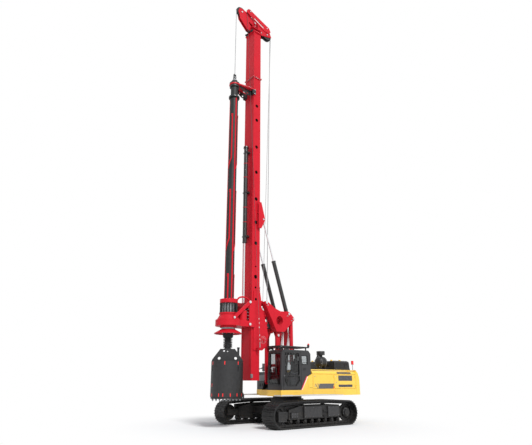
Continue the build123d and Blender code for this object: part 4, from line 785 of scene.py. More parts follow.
# %% Panel joints and locks
def joint_lines(rows, side):
    """Thin strips on a side face: rows of x from, x to, z from, z to."""
    across = sorted((side * (BODY_SIDE - 3), side * (BODY_SIDE + 1.5)))
    return [soft_block((x0, x1), across, (z0, z1), 1) for x0, x1, z0, z1 in rows]


def lock(x, z, side):
    """Round lock in a pressed dish."""
    dish = turned([(0, 3), (14, 3), (19, 7), (24, 6), (30, 0), (0, 0)], (x, side * BODY_SIDE, z),
                  (0, side, 0), 20)
    across = sorted((side * (BODY_SIDE + 3), side * (BODY_SIDE + 11)))
    lever = soft_block((x - 22, x + 22), across, (z - 5, z + 5), 2)
    return join([dish, lever])


JOINT_ROWS = [(-3552, -3547, 1552, 2300), (-403, -398, 1552, 2292), (-3550, -400, 2277, 2281),
              (-1923, -1919, 1552, 1588), (-1923, -1919, 2272, 2280)]
LOCKS = (("front", ((-560, 2160), (-560, 1720))), ("rear", ((-2040, 2150), (-2040, 1880))))
for side, word in SIDES:
    hold(join(joint_lines(JOINT_ROWS, side)), "joint_lines_" + word, "rubber_black", "upper")
    for end, places in LOCKS:
        hold(join([lock(x, z, side) for x, z in places]), f"lock_{end}_{word}", "steel_grey",
             f"access_door_{end}_{word}")

# %% [markdown]
# The coloured band: a dark bar without any lettering, its front end cut on the slant by three short
# stripes and its rear end closed by a red wedge. Each colour is a thin plate of its own.


# %% Coloured bands
BAND_LOW, BAND_TOP, BAND_LEAN = 1606, 1830, -110


def side_paint(name, side, outlines, finish, body):
    plates = [plate_at("side", side * (BODY_SIDE + 0.8), [ring], 2.4, 0.4) for ring in outlines]
    return hold(join(plates), name, finish, body)


def slanted(x0, x1, z0, z1, lean):
    """Four corners of a bar that leans, its upper edge moved along X."""
    return [(x0, z0), (x1, z0), (x1 + lean, z1), (x0 + lean, z1)]


band_height = BAND_TOP - BAND_LOW
bar = slanted(-1790, -760, BAND_LOW, BAND_TOP, BAND_LEAN)
stripes = [slanted(x, x + 38, BAND_LOW + drop, BAND_TOP, BAND_LEAN * (band_height - drop) / band_height)
           for x, drop in ((-722, 0), (-650, 75), (-578, 150))]
wedge = [(-1880, BAND_LOW), (-1812, BAND_LOW), (-1862, 1730), (-1880, 1730)]
for side, word in SIDES:
    front_door = "access_door_front_" + word
    side_paint("band_dark_" + word, side, [bar], "plastic_grey", front_door)
    side_paint("band_stripes_" + word, side, stripes, "plastic_grey", front_door)
    side_paint("band_wedge_" + word, side, [wedge], "stripe_red", front_door)
print("bands on both sides")

# %% [markdown]
# The yellow panel that laps over the cab's lower corner carries the red stripe with its white edge.

# %% Corner panel and stripe
stripe_front = [(-62, 2146), (-22, 2168), (372, 1556), (318, 1556)]
stripe_edge = [(-92, 2128), (-62, 2146), (318, 1556), (286, 1556)]
side_paint("corner_stripe_red", 1, [stripe_front], "stripe_red", "upper")
side_paint("corner_stripe_white", 1, [stripe_edge], "stripe_white", "upper")
corner_lines = [soft_block((-382, -180), (1474, 1482), (z, z + 6), 1) for z in (1640, 1646)]
corner_lines.append(soft_block((-90, -84), (1474, 1480), (1590, 2080), 1))
hold(join(corner_lines), "corner_panel_lines", "rubber_black", "upper")

# %% [markdown]
# ## Roof of the engine bay
# The black hood has rounded upper edges, grilles in its sides and filler caps. The air cleaner is a
# fat drum with domed ends, straps and a ribbed rain cap.


# %% Hood and air cleaner
def hood_shell():
    """Hood with its upper edges rounded, over the plain solid."""
    shell = soft_block((-3622, -2436), (-955, 1045), (2484, 2936), 85)
    select_only(shell)
    bpy.ops.object.mode_set(mode="EDIT")
    bpy.ops.mesh.select_all(action="SELECT")
    bpy.ops.mesh.bisect(plane_co=spot(0, 0, 2570), plane_no=(0, 0, 1), clear_inner=True, use_fill=True)
    bpy.ops.object.mode_set(mode="OBJECT")
    skirt = soft_block((-3628, -2430), (-962, 1052), (2482, 2560), 8)
    return join([shell, skirt])


hold(hood_shell(), "hood_shell", "black_satin", "upper")


def hood_vents(side, y, rows):
    """Round-cornered vents with slats on a face of the hood."""
    pieces = []
    for x0, x1, z0, z1 in rows:
        rim = [rounded((x0, x1), (z0, z1), 22), rounded((x0 + 10, x1 - 10), (z0 + 10, z1 - 10), 14)]
        pieces.append(plate_at("side", y + side * 4, rim, 10, 3))
        for k in range(6):
            z = z0 + 22 + (z1 - z0 - 44) * k / 5
            pieces.append(soft_block((x0 + 8, x1 - 8), sorted((y, y + side * 7)), (z - 4, z + 4), 2))
    return join(pieces)


vent_rows = [(-3530, -3240, 2600, 2830), (-3200, -2900, 2600, 2830), (-2860, -2540, 2600, 2830)]
vents = join([hood_vents(1, 1045, vent_rows), hood_vents(-1, -955, vent_rows)])
hold(vents, "hood_vents", "grille_black", "upper")
ribs = [soft_block((-3540, -2520), (y, y + 40), (2934, 2946), 5)
        for y in (-820, -520, -220, 80, 380, 680, 900)]
hold(join(ribs), "hood_ribs", "black_satin", "upper")
caps = [turned([(0, 46), (40, 46), (52, 38), (54, 0), (70, -4), (70, -14), (0, -14)], (x, y, 2950),
               (0, 0, 1), 24) for x, y in ((-3100, 820), (-2520, 780), (-2620, -700))]
hold(join(caps), "filler_caps", "yellow_enamel", "upper")

drum_profile = [(0, -4), (110, 0), (190, 28), (238, 76), (253, 130), (253, 200), (259, 204), (259, 236),
                (253, 240), (253, 340), (259, 344), (259, 376), (253, 380), (253, 450), (238, 504),
                (190, 552), (110, 580), (0, 584)]
hold(turned(drum_profile, (-2215, 600, 2860), (1, 0, 0), 40), "air_drum", "black_satin", "upper")
rain_cap = [(84, 0), (84, 96), (120, 106), (204, 110), (213, 118), (213, 138), (205, 142), (205, 154),
            (213, 158), (213, 178), (205, 182), (205, 194), (213, 198), (213, 268), (204, 280),
            (110, 292), (0, 294)]
hold(turned(rain_cap, (-1925, 600, 3112), (0, 0, 1), 40), "rain_cap", "black_satin", "upper")
clips = []
for k in range(8):
    angle = math.radians(45 * k + 20)
    clips.append(soft_block((-1740, -1690), (590 + 252 * math.sin(angle), 610 + 252 * math.sin(angle)),
                            (2850 + 252 * math.cos(angle), 2870 + 252 * math.cos(angle)), 3))
hold(join(clips), "air_drum_clips", "steel_grey", "upper")
intake = tube([(-2190, 600, 2860), (-2300, 600, 2855), (-2390, 600, 2780), (-2470, 600, 2730)], 92, rings=4)
hold(intake, "air_pipe", "hose_rubber", "upper")
straps = [turned([(256, -20), (267, -18), (267, 18), (256, 20), (256, -20)], (x, 600, 2860), (1, 0, 0), 40)
          for x in (-2070, -1780)]
hold(join(straps), "air_drum_straps", "plastic_grey", "upper")

# %% [markdown]
# The exhaust stands on the far side of the roof, and rails with bent ends guard the walkway.

# %% Exhaust, roof rails and tail
exhaust_route = [(-2900, -560, 2920), (-2900, -560, 3120), (-2900, -560, 3260), (-2985, -560, 3345)]
exhaust = join([tube(exhaust_route, 62, rings=4),
                turned([(62, 0), (96, 10), (96, 250), (62, 262)], (-2900, -560, 2938), (0, 0, 1), 28)])
hold(exhaust, "exhaust", "grille_black", "upper")


def roof_rail(x0, x1, y, height):
    base = 2480
    lean = 30
    return tube([(x0, y, base), (x0, y, base + height - 90), (x0 + lean, y, base + height),
                 (x0 + lean + 90, y, base + height), (x1 - lean - 90, y, base + height),
                 (x1 - lean, y, base + height), (x1, y, base + height - 90), (x1, y, base)], 16, rings=2)


hold(join([roof_rail(-1880, -640, -1180, 420), roof_rail(-3460, -2300, -1180, 420)]), "roof_rails",
     "black_satin", "upper")
tread = [soft_block((-2280, -440), (-1100 + 60 * k, -1088 + 60 * k), (2478, 2486), 2) for k in range(8)]
hold(join(tread), "roof_tread", "grille_black", "upper")
tail_lamps = [turned([(0, 24), (30, 22), (48, 16), (54, 4), (60, -6), (0, -6)], (-3872, y, 1730),
                     (-1, 0, 0.19), 24) for y in (-1180, 1180)]
hold(join(tail_lamps), "tail_lamps", "stripe_red", "upper")
eyes = []
for y in (-700, 700):
    eyes.append(tube([(-3700, y - 60, 2440), (-3700, y - 60, 2520), (-3700, y, 2560), (-3700, y + 60, 2520),
                      (-3700, y + 60, 2440)], 18, rings=3))
hold(join(eyes), "lifting_eyes", "black_satin", "upper")
tail_line = join([soft_block((-3831, -3822), (-1340, 1340), (1960, 1972), 3),
                  soft_block((-3792, -3780), (-1340, 1340), (2154, 2164), 3)])
hold(tail_line, "tail_lines", "rubber_black", "upper")

# %% [markdown]
# ## Mast
# The round holes of the mast look black because its hollow inside lies in shade. A dark disc of painted
# shade stands a little way in behind each hole, and a thin rim runs round it. Bolts hold the mast's joints
# together, and four thin pipes are clamped to its front.


# %% Holes, joints and pipes of the mast
HOLES = (6780, 8500, 9610, 10890, 12420, 13920, 15580, 16490)
MAST_X, MAST_MIDDLE = (1940, 2455), 2197.5
JOINT_LOW, JOINT_TOP, HEAD_FLANGE = 18384, 21564, 21662
discs, rims = [], []
for side in (1, -1):
    for z in HOLES:
        discs.append(turned([(0, 0), (110, 0), (112, 3), (110, 6), (0, 6)], (MAST_MIDDLE, side * 322, z),
                            (0, side, 0), 24))
        rims.append(turned([(95, -2), (95, 3), (99, 4), (103, 3), (104, -2), (95, -2)],
                           (MAST_MIDDLE, side * 350, z), (0, side, 0), 28))
    for z, radius in ((6250, 50), (5670, 62)):
        discs.append(turned([(0, 0), (radius, 0), (radius, 2.5), (0, 3)],
                            (MAST_MIDDLE, side * (386 if z < 6080 else 350), z), (0, side, 0), 24))
# The discs are painted shade that stands for the dark inside of each hole.
hold(join(discs), "mast_hole_shade_discs", "painted_hole_shade", "mast", 30)
hold(join(rims), "mast_hole_rims", "red_enamel", "mast", 30)
slots = [plate_at("side", side * 351, [rounded((2150, 2250), (7270, 7330), 28)], 3, 0.5) for side in (1, -1)]
# The slot in each side is a dark plate of painted shade.
hold(join(slots), "mast_slots", "painted_hole_shade", "mast")

joint_bolts = [(x, side * 392, z) for side in (1, -1) for x in range(1960, 2450, 80)
               for z in (JOINT_LOW, JOINT_TOP)]
joint_bolts += [(x, y, z) for x in (1918, 2482) for y in range(-300, 301, 100)
                for z in (JOINT_LOW, JOINT_TOP)]
bolts("mast_joint_bolts", joint_bolts, (0, 0, 1), 20, "pin_zinc", "mast")
joint_nuts = [(x, y, JOINT_LOW - 65) for x, y, z in joint_bolts if z == JOINT_LOW]
bolts("mast_joint_nuts", joint_nuts, (0, 0, -1), 24, "pin_zinc", "mast")
head_bolts = [(x, y, HEAD_FLANGE) for x in (1905, 2520) for y in (-240, -120, 0, 120, 240)]
head_bolts += [(x, side * 265, HEAD_FLANGE) for side in (1, -1) for x in (2030, 2200, 2370)]
bolts("head_flange_bolts", head_bolts, (0, 0, 1), 24, "pin_zinc", "mast")
seam = soft_block((MAST_X[0] - 5, MAST_X[1] + 5), (-355, 355), (7608, 7632), 3)
hold(seam, "mast_seams", "red_enamel", "mast")
segments = []
for z0 in (18380, 18490):
    for side in (1, -1):
        for x in (2000, 2160, 2320):
            segments.append(soft_block((x, x + 110), sorted((side * 349, side * 362)),
                                       (z0 - 130, z0 - 60), 3))
hold(join(segments), "mast_joint_plates", "red_enamel", "mast")


def pipe_line(name, route, radius, body, clamp_places, across, finish="barrel_black", held="steel_grey"):
    """Pipe with a small block at each clamp; across is half the block's size."""
    hold(tube(route, radius, order=3, rings=2, steps=5), name, finish, body)
    clamps = [soft_block((x - across[0], x + across[0]), (y - across[1], y + across[1]),
                         (z - across[2], z + across[2]), 4) for x, y, z in clamp_places]
    return hold(join(clamps), name + "_clamps", held, body)


for number, y in enumerate((-290, -262, 262, 290)):
    pipe_line(f"mast_front_pipe_{number + 1}", [(2460, y, 2500), (2460, y, 4500), (2460, y, 6400)], 4.5,
              "mast", [(2460, y, z) for z in range(2700, 6400, 700)], (5, 8, 16), "red_enamel", "red_enamel")

# %% [markdown]
# Two collars and a bolted cover finish a hydraulic cylinder, and a side pipe runs along the mast's barrels.
# The collars are one turned profile placed along each barrel.


# %% Cylinder trim
def along_line(foot, eye, y, distance):
    share = distance / math.dist(foot, eye)
    return (foot[0] + (eye[0] - foot[0]) * share, y, foot[1] + (eye[1] - foot[1]) * share)


def cylinder_trim(name, foot, eye, y, radius, rod_radius, length, body, pipe=True):
    """Gland with its bolts, foot collar and a side pipe of one barrel."""
    run = Vector((eye[0] - foot[0], 0, eye[1] - foot[1])).normalized()
    sideways = Vector((-run.z, 0, run.x))
    gland = [(rod_radius + 3, 4), (rod_radius + 3, 16), (radius * 0.8, 18), (radius + 8, 8),
             (radius + 10, -6), (radius + 10, -70), (radius, -78), (rod_radius + 3, 4)]
    pieces = [turned(gland, along_line(foot, eye, y, length), run, 28)]
    pieces.append(turned([(radius - 2, 0), (radius + 9, 4), (radius + 9, 46), (radius - 2, 50),
                          (radius - 2, 0)], along_line(foot, eye, y, 190), run, 28))
    gland_bolts = []
    for k in range(8):
        angle = math.radians(45 * k)
        outwards, beside = math.cos(angle) * radius * 0.78, math.sin(angle) * radius * 0.78
        offset = sideways * outwards + Vector((0, beside, 0))
        gland_bolts.append(tuple(Vector(along_line(foot, eye, y, length + 14)) + offset))
    hold(join(pieces), name + "_collars", "barrel_black", body)
    bolts(name + "_gland_bolts", gland_bolts, run, 11, "pin_zinc", body)
    if pipe:
        ends = [Vector(along_line(foot, eye, y, d)) for d in (240, 300, length - 160, length - 90)]
        out = [sideways * (radius + lift) for lift in (0, 20, 20, 0)]
        route = [tuple(a + b) for a, b in zip(ends, out)]
        hold(tube(route, 9, order=2, rings=2, steps=4), name + "_pipe", "barrel_black", body)


MAST_RAM = ((230, 5120), (1800, 9820))
LUFF_RAM = ((290, 1850), (-130, 4600))
for side, word in SIDES:
    cylinder_trim("mast_ram_" + word, *MAST_RAM, side * 425, 100, 45, 2750, "mast_barrels")
    cylinder_trim("luff_ram_" + word, *LUFF_RAM, side * 225, 85, 45,
                  math.dist(*LUFF_RAM) * 0.62, "luff_barrels", False)
CROWD_X = 2640
crowd_top = turned([(52, -6), (52, 10), (90, 12), (138, 4), (140, -10), (140, -88), (112, -96), (52, -6)],
                   (CROWD_X, 0, 13906), (0, 0, 1), 32)
hold(crowd_top, "crowd_gland", "barrel_black", "mast")
crowd_low = turned([(54, -14), (54, 6), (114, 8), (118, 4), (118, 60), (112, 66), (54, -14)],
                   (CROWD_X, 0, 8500), (0, 0, 1), 32)
hold(crowd_low, "crowd_foot", "barrel_black", "mast")
bands = [turned([(111, -16), (119, -13), (119, 13), (111, 16), (111, -16)], (CROWD_X, 0, z), (0, 0, 1), 32)
         for z in (9600, 10400, 12100, 12900)]
hold(join(bands), "crowd_bands", "red_enamel", "mast")
pipe_line("crowd_pipe", [(2720, 96, 8600), (2728, 100, 8700), (2728, 100, 13600), (2720, 96, 13700)], 8,
          "mast", [(2728, 100, z) for z in (9200, 10000, 10800, 12500, 13300)], (12, 12, 14))

# %% [markdown]
# ## Winches
# Rope lies in close turns on a drum. One profile of small half-rounds, turned about the drum's axis,
# gives all the turns at once. The auxiliary winch has a stepped hub with a ring of bolts on its outer
# face. The main winch has a flat cover, because the triangle comes near it when the mast leans forward.


# %% Windings and drives
MAIN_WINCH, AUX_WINCH = (1300, 4510), (1740, 3790)


def winding(name, place, half, radius, rope_width, body):
    """Turns of rope on a drum whose axis goes through a place (x, z)."""
    count = int(2 * half / rope_width)
    profile = [(radius - 6, -half)]
    for turn in range(count):
        left = -half + turn * rope_width
        for share, lift in ((0.08, 0.12), (0.3, 0.42), (0.5, 0.5), (0.7, 0.42), (0.92, 0.12)):
            profile.append((radius + rope_width * lift, left + rope_width * share))
    profile += [(radius - 6, half), (radius - 6, -half)]
    return hold(turned(profile, (place[0], 0, place[1]), (0, 1, 0), 28), name, "rope_steel", body, 60)


winding("main_winding", MAIN_WINCH, 215, 131, 32, "main_drum")
winding("aux_winding", AUX_WINCH, 270, 141, 24, "aux_drum")
hub = [(0, 62), (40, 62), (46, 50), (70, 48), (78, 20), (120, 16), (128, 0), (0, 0)]
flat_hub = [(radius, height * 0.11) for radius, height in hub]
for name, place, face, profile, finish in (("main_drive", MAIN_WINCH, 290, flat_hub, "black_satin"),
                                           ("aux_drive", AUX_WINCH, 385, hub, "red_enamel")):
    drive = join([turned(profile, (place[0], side * face, place[1]), (0, side, 0), 28) for side in (1, -1)])
    hold(drive, name, finish, "mast")
for name, y, radius, count, size in (("aux_drive_bolts", 401, 100, 10, 15),
                                     ("bracket_bolts", 387, 168, 16, 14)):
    ring = [(AUX_WINCH[0] + u, y, AUX_WINCH[1] + v) for u, v in ring_of(radius, count)]
    bolts_both_sides(name, ring, size, "mast")

# %% [markdown]
# ## Linkage trim
# Keeper plates hold the pins, a raised collar runs round the triangle's big hole, and welded ribs
# stiffen the arms.

# %% Collars, keepers and ribs of the linkage
collar = [(217, -3), (217, 8), (236, 10), (252, 7), (254, -3), (217, -3)]
hold(join([turned(collar, (870, side * 600, 4740), (0, side, 0), 40) for side in (1, -1)]),
     "triangle_collars", "red_enamel", "triangle")


def keepers(name, rows, body):
    """Flat keeper beside a pin, with two bolts: rows of x, z, face."""
    plates, heads = [], []
    for x, z, face in rows:
        outline = rounded((x - 52, x + 52), (z - 17, z + 17), 8)
        plates += [plate_at("side", side * (face + 4), [outline], 8, 2) for side in (1, -1)]
        heads += [(x + dx, face + 9, z) for dx in (-34, 34)]
    hold(join(plates), name, "steel_grey", body)
    bolts_both_sides(name + "_bolts", heads, 12, body)


keepers("triangle_keepers", [(1610, 5430, 600), (340, 5010, 600), (60, 4800, 600)], "triangle")
arm_ribs = [soft_block((x, x + 12), sorted((side * 444, side * 452)), (2150, 3800), 3)
            for side in (1, -1) for x in (772, 916)]
hold(join(arm_ribs), "boom_ribs", "red_enamel", "boom")
print("linkage and winches dressed")

# %% [markdown]
# ## Mast head
# The front sheave gets a hub ring and a dark web on each side, and an eye stands on the head.

# %% Head trim
for name, profile, finish, steps in (
        ("front_sheave_hub", [(46, -4), (46, 6), (74, 8), (84, 0), (84, -4), (46, -4)], "pin_zinc", 28),
        ("front_sheave_face", [(120, -1), (120, 3), (290, 3), (292, -1), (120, -1)], "grille_black", 36)):
    discs = [turned(profile, (FRONT_SHEAVE[0], side * 45, FRONT_SHEAVE[1]), (0, side, 0), steps)
             for side in (1, -1)]
    hold(join(discs), name, finish, "front_sheave")
eye = tube([(2300, -60, 22600), (2300, -60, 22720), (2300, 0, 22780), (2300, 60, 22720),
            (2300, 60, 22600)], 16, rings=3)
hold(eye, "head_eye", "red_enamel", "mast")

# %% [markdown]
# ## Tracks
# A track is one long loop, so whatever sits on every shoe is modelled once and copied along the
# loop's line: straight below, round both ends, and on a slight rise over the top. One function
# gives the place and the slope at any distance along that line.

# %% Places along the loop
END_X, END_Z, RIM, RISE, CARRIER_X, SHOES = 2130, 540, 470, 60, 900, 52
TRACK_Y = 1800


def loop_runs():
    """Runs of the front half: straight, round the end, down slope and over the top."""
    top = END_Z + RIM + RISE
    run = (CARRIER_X - END_X, top - END_Z)
    leave = math.atan2(run[1], run[0]) - math.acos(RIM / math.hypot(*run))
    touch = (END_X + RIM * math.cos(leave), END_Z + RIM * math.sin(leave))
    return [("line", (0, END_Z - RIM), (END_X, END_Z - RIM)), ("arc", -math.pi / 2, leave),
            ("line", touch, (CARRIER_X, top)), ("line", (CARRIER_X, top), (0, top))]


def run_length(kind, first, last):
    return math.dist(first, last) if kind == "line" else (last - first) * RIM


HALF_LOOP = sum(run_length(*run) for run in loop_runs())


def loop_place(distance, lift):
    """Place and slope at a distance along the loop, moved outwards by lift."""
    back = distance > HALF_LOOP
    if back:
        distance = 2 * HALF_LOOP - distance
    for kind, first, last in loop_runs():
        if distance <= run_length(kind, first, last) + 1e-6:
            break
        distance -= run_length(kind, first, last)
    if kind == "arc":
        angle = first + distance / RIM
        x, z = END_X + (RIM + lift) * math.cos(angle), END_Z + (RIM + lift) * math.sin(angle)
        slope = angle + math.pi / 2
    else:
        slope = math.atan2(last[1] - first[1], last[0] - first[0])
        x = first[0] + math.cos(slope) * distance + math.sin(slope) * lift
        z = first[1] + math.sin(slope) * distance - math.cos(slope) * lift
    return (-x, z, -slope) if back else (x, z, slope)


def on_loop(distance, y, lift):
    x, z, slope = loop_place(distance % (2 * HALF_LOOP), lift)
    return Matrix.Translation(spot(x, y, z)) @ Matrix.Rotation(-slope, 4, "Y")


# %% [markdown]
# A link is a waisted plate with an eye at each end. Its pins show as small round ends. The bolts
# that hold a shoe lie in pairs between its bars.


# %% Links, pins and shoe bolts
def loop_copies(name, first, placings):
    """Copies of a piece that was modelled round the scene's own origin, where x is SHIFT_X."""
    return hold(copies(first, placings), name, "track_steel", "undercarriage", 30)


pitch = 2 * HALF_LOOP / SHOES
near, far, half_way = SHIFT_X, SHIFT_X + pitch, SHIFT_X + pitch / 2
waist = [(near - 44, -26), (near - 30, -42), (near + 24, -44), (half_way, -30), (far - 24, -44),
         (far + 30, -42), (far + 44, -26), (far + 44, 26), (far + 28, 44), (far - 28, 44),
         (half_way, 30), (near + 28, 44), (near - 28, 44), (near - 44, 26)]
for side, word in SIDES:
    centre = side * TRACK_Y
    for face, place in ((1, "outer"), (-1, "inner")):
        link = plate_at("side", 0, [waist], 14, 3)
        loop_copies(f"track_links_{word}_{place}", link,
                    [on_loop(shoe * pitch, centre + side * face * (137 + 9 * (shoe % 2)), -52)
                     for shoe in range(SHOES)])
    pin_end = round_bar((SHIFT_X, -170, 0), (SHIFT_X, 170, 0), 19, 4, 10)
    loop_copies("track_pins_" + word, pin_end, [on_loop(shoe * pitch, centre, -52) for shoe in range(SHOES)])
    bolt = round_bar((SHIFT_X, 0, -9), (SHIFT_X, 0, 9), 17, 3, 6)
    loop_copies("track_bolts_" + word, bolt,
                [on_loop((shoe + share) * pitch, centre + y, 44) for shoe in range(SHOES)
                 for share in (0.42, 0.58) for y in (-85, 85)])

# %% [markdown]
# The rollers get end caps, the wheels hub covers with bolt rings, and the boxes of the frames bolted
# covers.

# %% Rollers, hubs and covers
FRAME_BOXES = ((-320, 800, 400, 880, 70), (-1480, -720, 400, 860, 60), (1130, 1560, 420, 650, 55))
cap = [(0, 30), (26, 30), (30, 22), (62, 18), (72, 8), (74, -4), (0, -4)]
cover = [(0, 26), (60, 26), (72, 16), (150, 14), (186, 10), (196, -4), (0, -4)]
hub = [(0, 22), (46, 22), (52, 10), (68, 8), (72, -4), (0, -4)]
for side, word in SIDES:
    out = (0, side, 0)
    caps_row = [turned(cap, ((k - 3.5) * 430, side * 1995, 280), out, 20) for k in range(8)]
    hold(join(caps_row), "roller_caps_" + word, "frame_black", "undercarriage")
    hold(turned(cover, (-END_X, side * 1920, END_Z), out, 32), "final_drive_cover_" + word, "frame_black",
         "undercarriage")
    drive_bolts = [(-END_X + u, side * 1934, END_Z + v) for u, v in ring_of(170, 14)]
    bolts("final_drive_bolts_" + word, drive_bolts, out, 18, "steel_grey", "undercarriage")
    hold(turned(hub, (END_X, side * 1980, END_Z), out, 28), "idler_cap_" + word, "frame_black",
         "undercarriage")
    idler_bolts = [(END_X + u, side * 1891, END_Z + v) for u, v in ring_of(118, 8)]
    bolts("idler_bolts_" + word, idler_bolts, out, 16, "steel_grey", "undercarriage")
    covers, heads = [], []
    for x0, x1, z0, z1, proud in FRAME_BOXES:
        y = side * (2020 + proud)
        covers.append(plate_at("side", y, [rounded((x0 + 25, x1 - 25), (z0 + 25, z1 - 25), 24)], 12, 3))
        heads += [(x, y + side * 6, z) for x in (x0 + 60, (x0 + x1) / 2, x1 - 60)
                  for z in (z0 + 55, z1 - 55)]
    hold(join(covers), "frame_covers_" + word, "cover_grey", "undercarriage")
    bolts("frame_cover_bolts_" + word, heads, out, 13, "steel_grey", "undercarriage")
    steps = [plate_at("side", side * 2095, [rounded((x, x + 240), (z, z + 50), 14),
                                            rounded((x + 22, x + 218), (z + 18, z + 32), 6)], 60, 4)
             for x, z in ((-640, 430), (-640, 640))]
    hold(join(steps), "frame_steps_" + word, "frame_black", "undercarriage")
    across = sorted((side * (TRACK_Y + 288), side * (TRACK_Y + 300)))
    front = [soft_block((1860, 2280), across, (z, z + 14), 4) for z in (380, 560)]
    rim = [rounded((1860, 2280), (320, 680), 24), rounded((1884, 2256), (344, 656), 16)]
    front.append(plate_at("side", side * 2094, rim, 12, 3))
    hold(join(front), "tensioner_cover_" + word, "cover_grey", "undercarriage")
slew_bolts = [(-100 + u, v, 1001) for u, v in ring_of(765, 36)]
bolts("slew_bolts", slew_bolts, (0, 0, -1), 26, "steel_grey", "undercarriage")
print("undercarriage dressed")

# %% [markdown]
# ## Cab
# The panes sit in rubber, the door has a handle and a pull, and a wiper lies on the front screen.
# Inside there is a padded seat between two consoles with levers, and a screen at the front pillar.


# %% Seals, handles and wiper
def grown(ring, amount):
    """Outline moved outwards from its middle by about an amount."""
    mid_u = sum(u for u, _ in ring) / len(ring)
    mid_v = sum(v for _, v in ring) / len(ring)
    moved = []
    for u, v in ring:
        reach = math.hypot(u - mid_u, v - mid_v)
        moved.append((u + (u - mid_u) * amount / reach, v + (v - mid_v) * amount / reach))
    return moved


UPPER = [(460, 2270), (520, 2210), (1330, 2210), (1340, 3160), (460, 3160)]
LOWER = [(460, 2150), (460, 1950), (660, 1740), (1200, 1740), (1330, 1950), (1330, 2150)]
seals = [plate_at("side", 1478, [grown(ring, 34), grown(ring, -6)], 8, 2) for ring in (UPPER, LOWER)]
hold(join(seals), "door_seals", "rubber_black", "cab_door")
pane_rings = [rounded((-96, 316), (2674, 3086), 30), rounded((-66, 286), (2704, 3056), 16)]
hold(plate_at("side", 1478, pane_rings, 8, 2), "side_pane_seal", "rubber_black", "upper")
gap_rings = [rounded((326, 1464), (1586, 3244), 30), rounded((336, 1454), (1596, 3234), 26)]
hold(plate_at("side", BODY_SIDE, gap_rings, 4, 0.6), "door_gap", "rubber_black", "upper")
handle_plate = soft_block((1352, 1418), (1476, 1490), (2130, 2196), 6)
grip_route = [(1366, 1484, 2164), (1366, 1512, 2164), (1408, 1512, 2164), (1408, 1484, 2164)]
hold(join([handle_plate, tube(grip_route, 8, rings=2)]), "door_handle", "plastic_grey", "cab_door")
for name, x, inner, outer, low, high, body in (("door_rail", 1436, 1474, 1520, 1750, 2120, "cab_door"),
                                               ("front_rail_left", 1560, 1400, 1440, 1700, 2500, "upper")):
    route = [(x, inner, low), (x, outer, low), (x, outer, low + 60), (x, outer, high - 60),
             (x, outer, high), (x, inner, high)]
    hold(tube(route, 11, rings=2), name, "black_satin", body)
screen_lines = [plate_at("front", 1596, [rounded((615, 1382), (1800, 1816), 4)], 8, 2),
                plate_at("front", 1538, [rounded((615, 1382), (3128, 3144), 4)], 8, 2),
                soft_block((1584, 1596), (975, 990), (1810, 2200), 3)]
hold(join(screen_lines), "screen_seals", "rubber_black", "upper")
wiper = join([tube([(1598, 1300, 1790), (1604, 1240, 2050), (1592, 1120, 2560)], 9, order=2, rings=2),
              round_bar((1598, 1300, 1760), (1598, 1300, 1820), 22, 4, 14),
              soft_block((1586, 1600), (1090, 1150), (2200, 2860), 4)])
hold(wiper, "wiper", "rubber_black", "upper")
roof_lines = [soft_block((-120, 1380), (y, y + 26), (3318, 3326), 3) for y in (620, 800, 980, 1160, 1340)]
hold(join(roof_lines), "cab_roof_ribs", "cab_grey", "upper")
vents = [soft_block((20, 230), (1475, 1483), (z, z + 12), 3) for z in (2420, 2450, 2480, 2510)]
hold(join(vents), "cab_side_vents", "rubber_black", "upper")


# %% Seat, levers and lamps
def cushion(name, x, y, z):
    """Crowned cushion with its edges pulled in."""
    pad = soft_block(x, y, z, 34)
    with_modifier(pad, "SUBSURF", levels=2, render_levels=2)
    with_modifier(pad, "CAST", factor=0.16, cast_type="SPHERE")
    hold(pad, name, "cloth_grey", "upper", 60)


MID = 998.5
cushion("seat_pad", (240, 716), (MID - 236, MID + 236), (2075, 2215))
cushion("seat_back", (196, 330), (MID - 222, MID + 222), (2170, 2790))
cushion("seat_headrest", (182, 268), (MID - 130, MID + 130), (2800, 2960))
boot = [(44, 0), (40, 14), (46, 20), (34, 34), (38, 40), (24, 56), (12, 66), (0, 68), (0, 0)]
knob = [(0, 0), (20, 8), (26, 40), (24, 82), (14, 104), (0, 110)]
levers = []
for side in (-1, 1):
    y = MID + side * 300
    levers.append(turned(boot, (800, y, 2329), (0, 0, 1), 20))
    levers.append(tube([(800, y, 2380), (806, y, 2460), (800, y, 2500)], 9, rings=2))
    levers.append(turned(knob, (800, y, 2480), (0, 0, 1), 18))
hold(join(levers), "levers", "rubber_black", "upper")
screen = join([soft_block((1330, 1360), (640, 900), (2330, 2530), 8),
               tube([(1350, 700, 2420), (1440, 640, 2380), (1500, 600, 2350)], 12, order=2, rings=2)])
hold(screen, "cab_screen", "plastic_grey", "upper")
lamp_shell = [(0, -60), (40, -58), (70, -30), (78, 0), (82, 14), (72, 14), (70, 4), (0, 2)]
lamp_pane = [(0, 12), (50, 10), (71, 6), (71, 2), (0, 2)]
for name, profile, finish in (("work_lamps", lamp_shell, "black_satin"),
                              ("work_lamp_panes", lamp_pane, "lamp_glass")):
    lamps = [turned(profile, (1560, y, 3400), (1, 0, -0.25), 24) for y in (640, 820, 1180, 1360)]
    hold(join(lamps), name, finish, "upper")
knob_cap = turned([(0, 40), (26, 36), (32, 20), (32, 0), (0, 0)], (-240, 1420, 3620), (0, 0, 1), 20)
guard_knob = join([soft_block((-280, -200), (1385, 1455), (3590, 3640), 12), knob_cap])
hold(guard_knob, "guard_knob", "stripe_red", "upper")
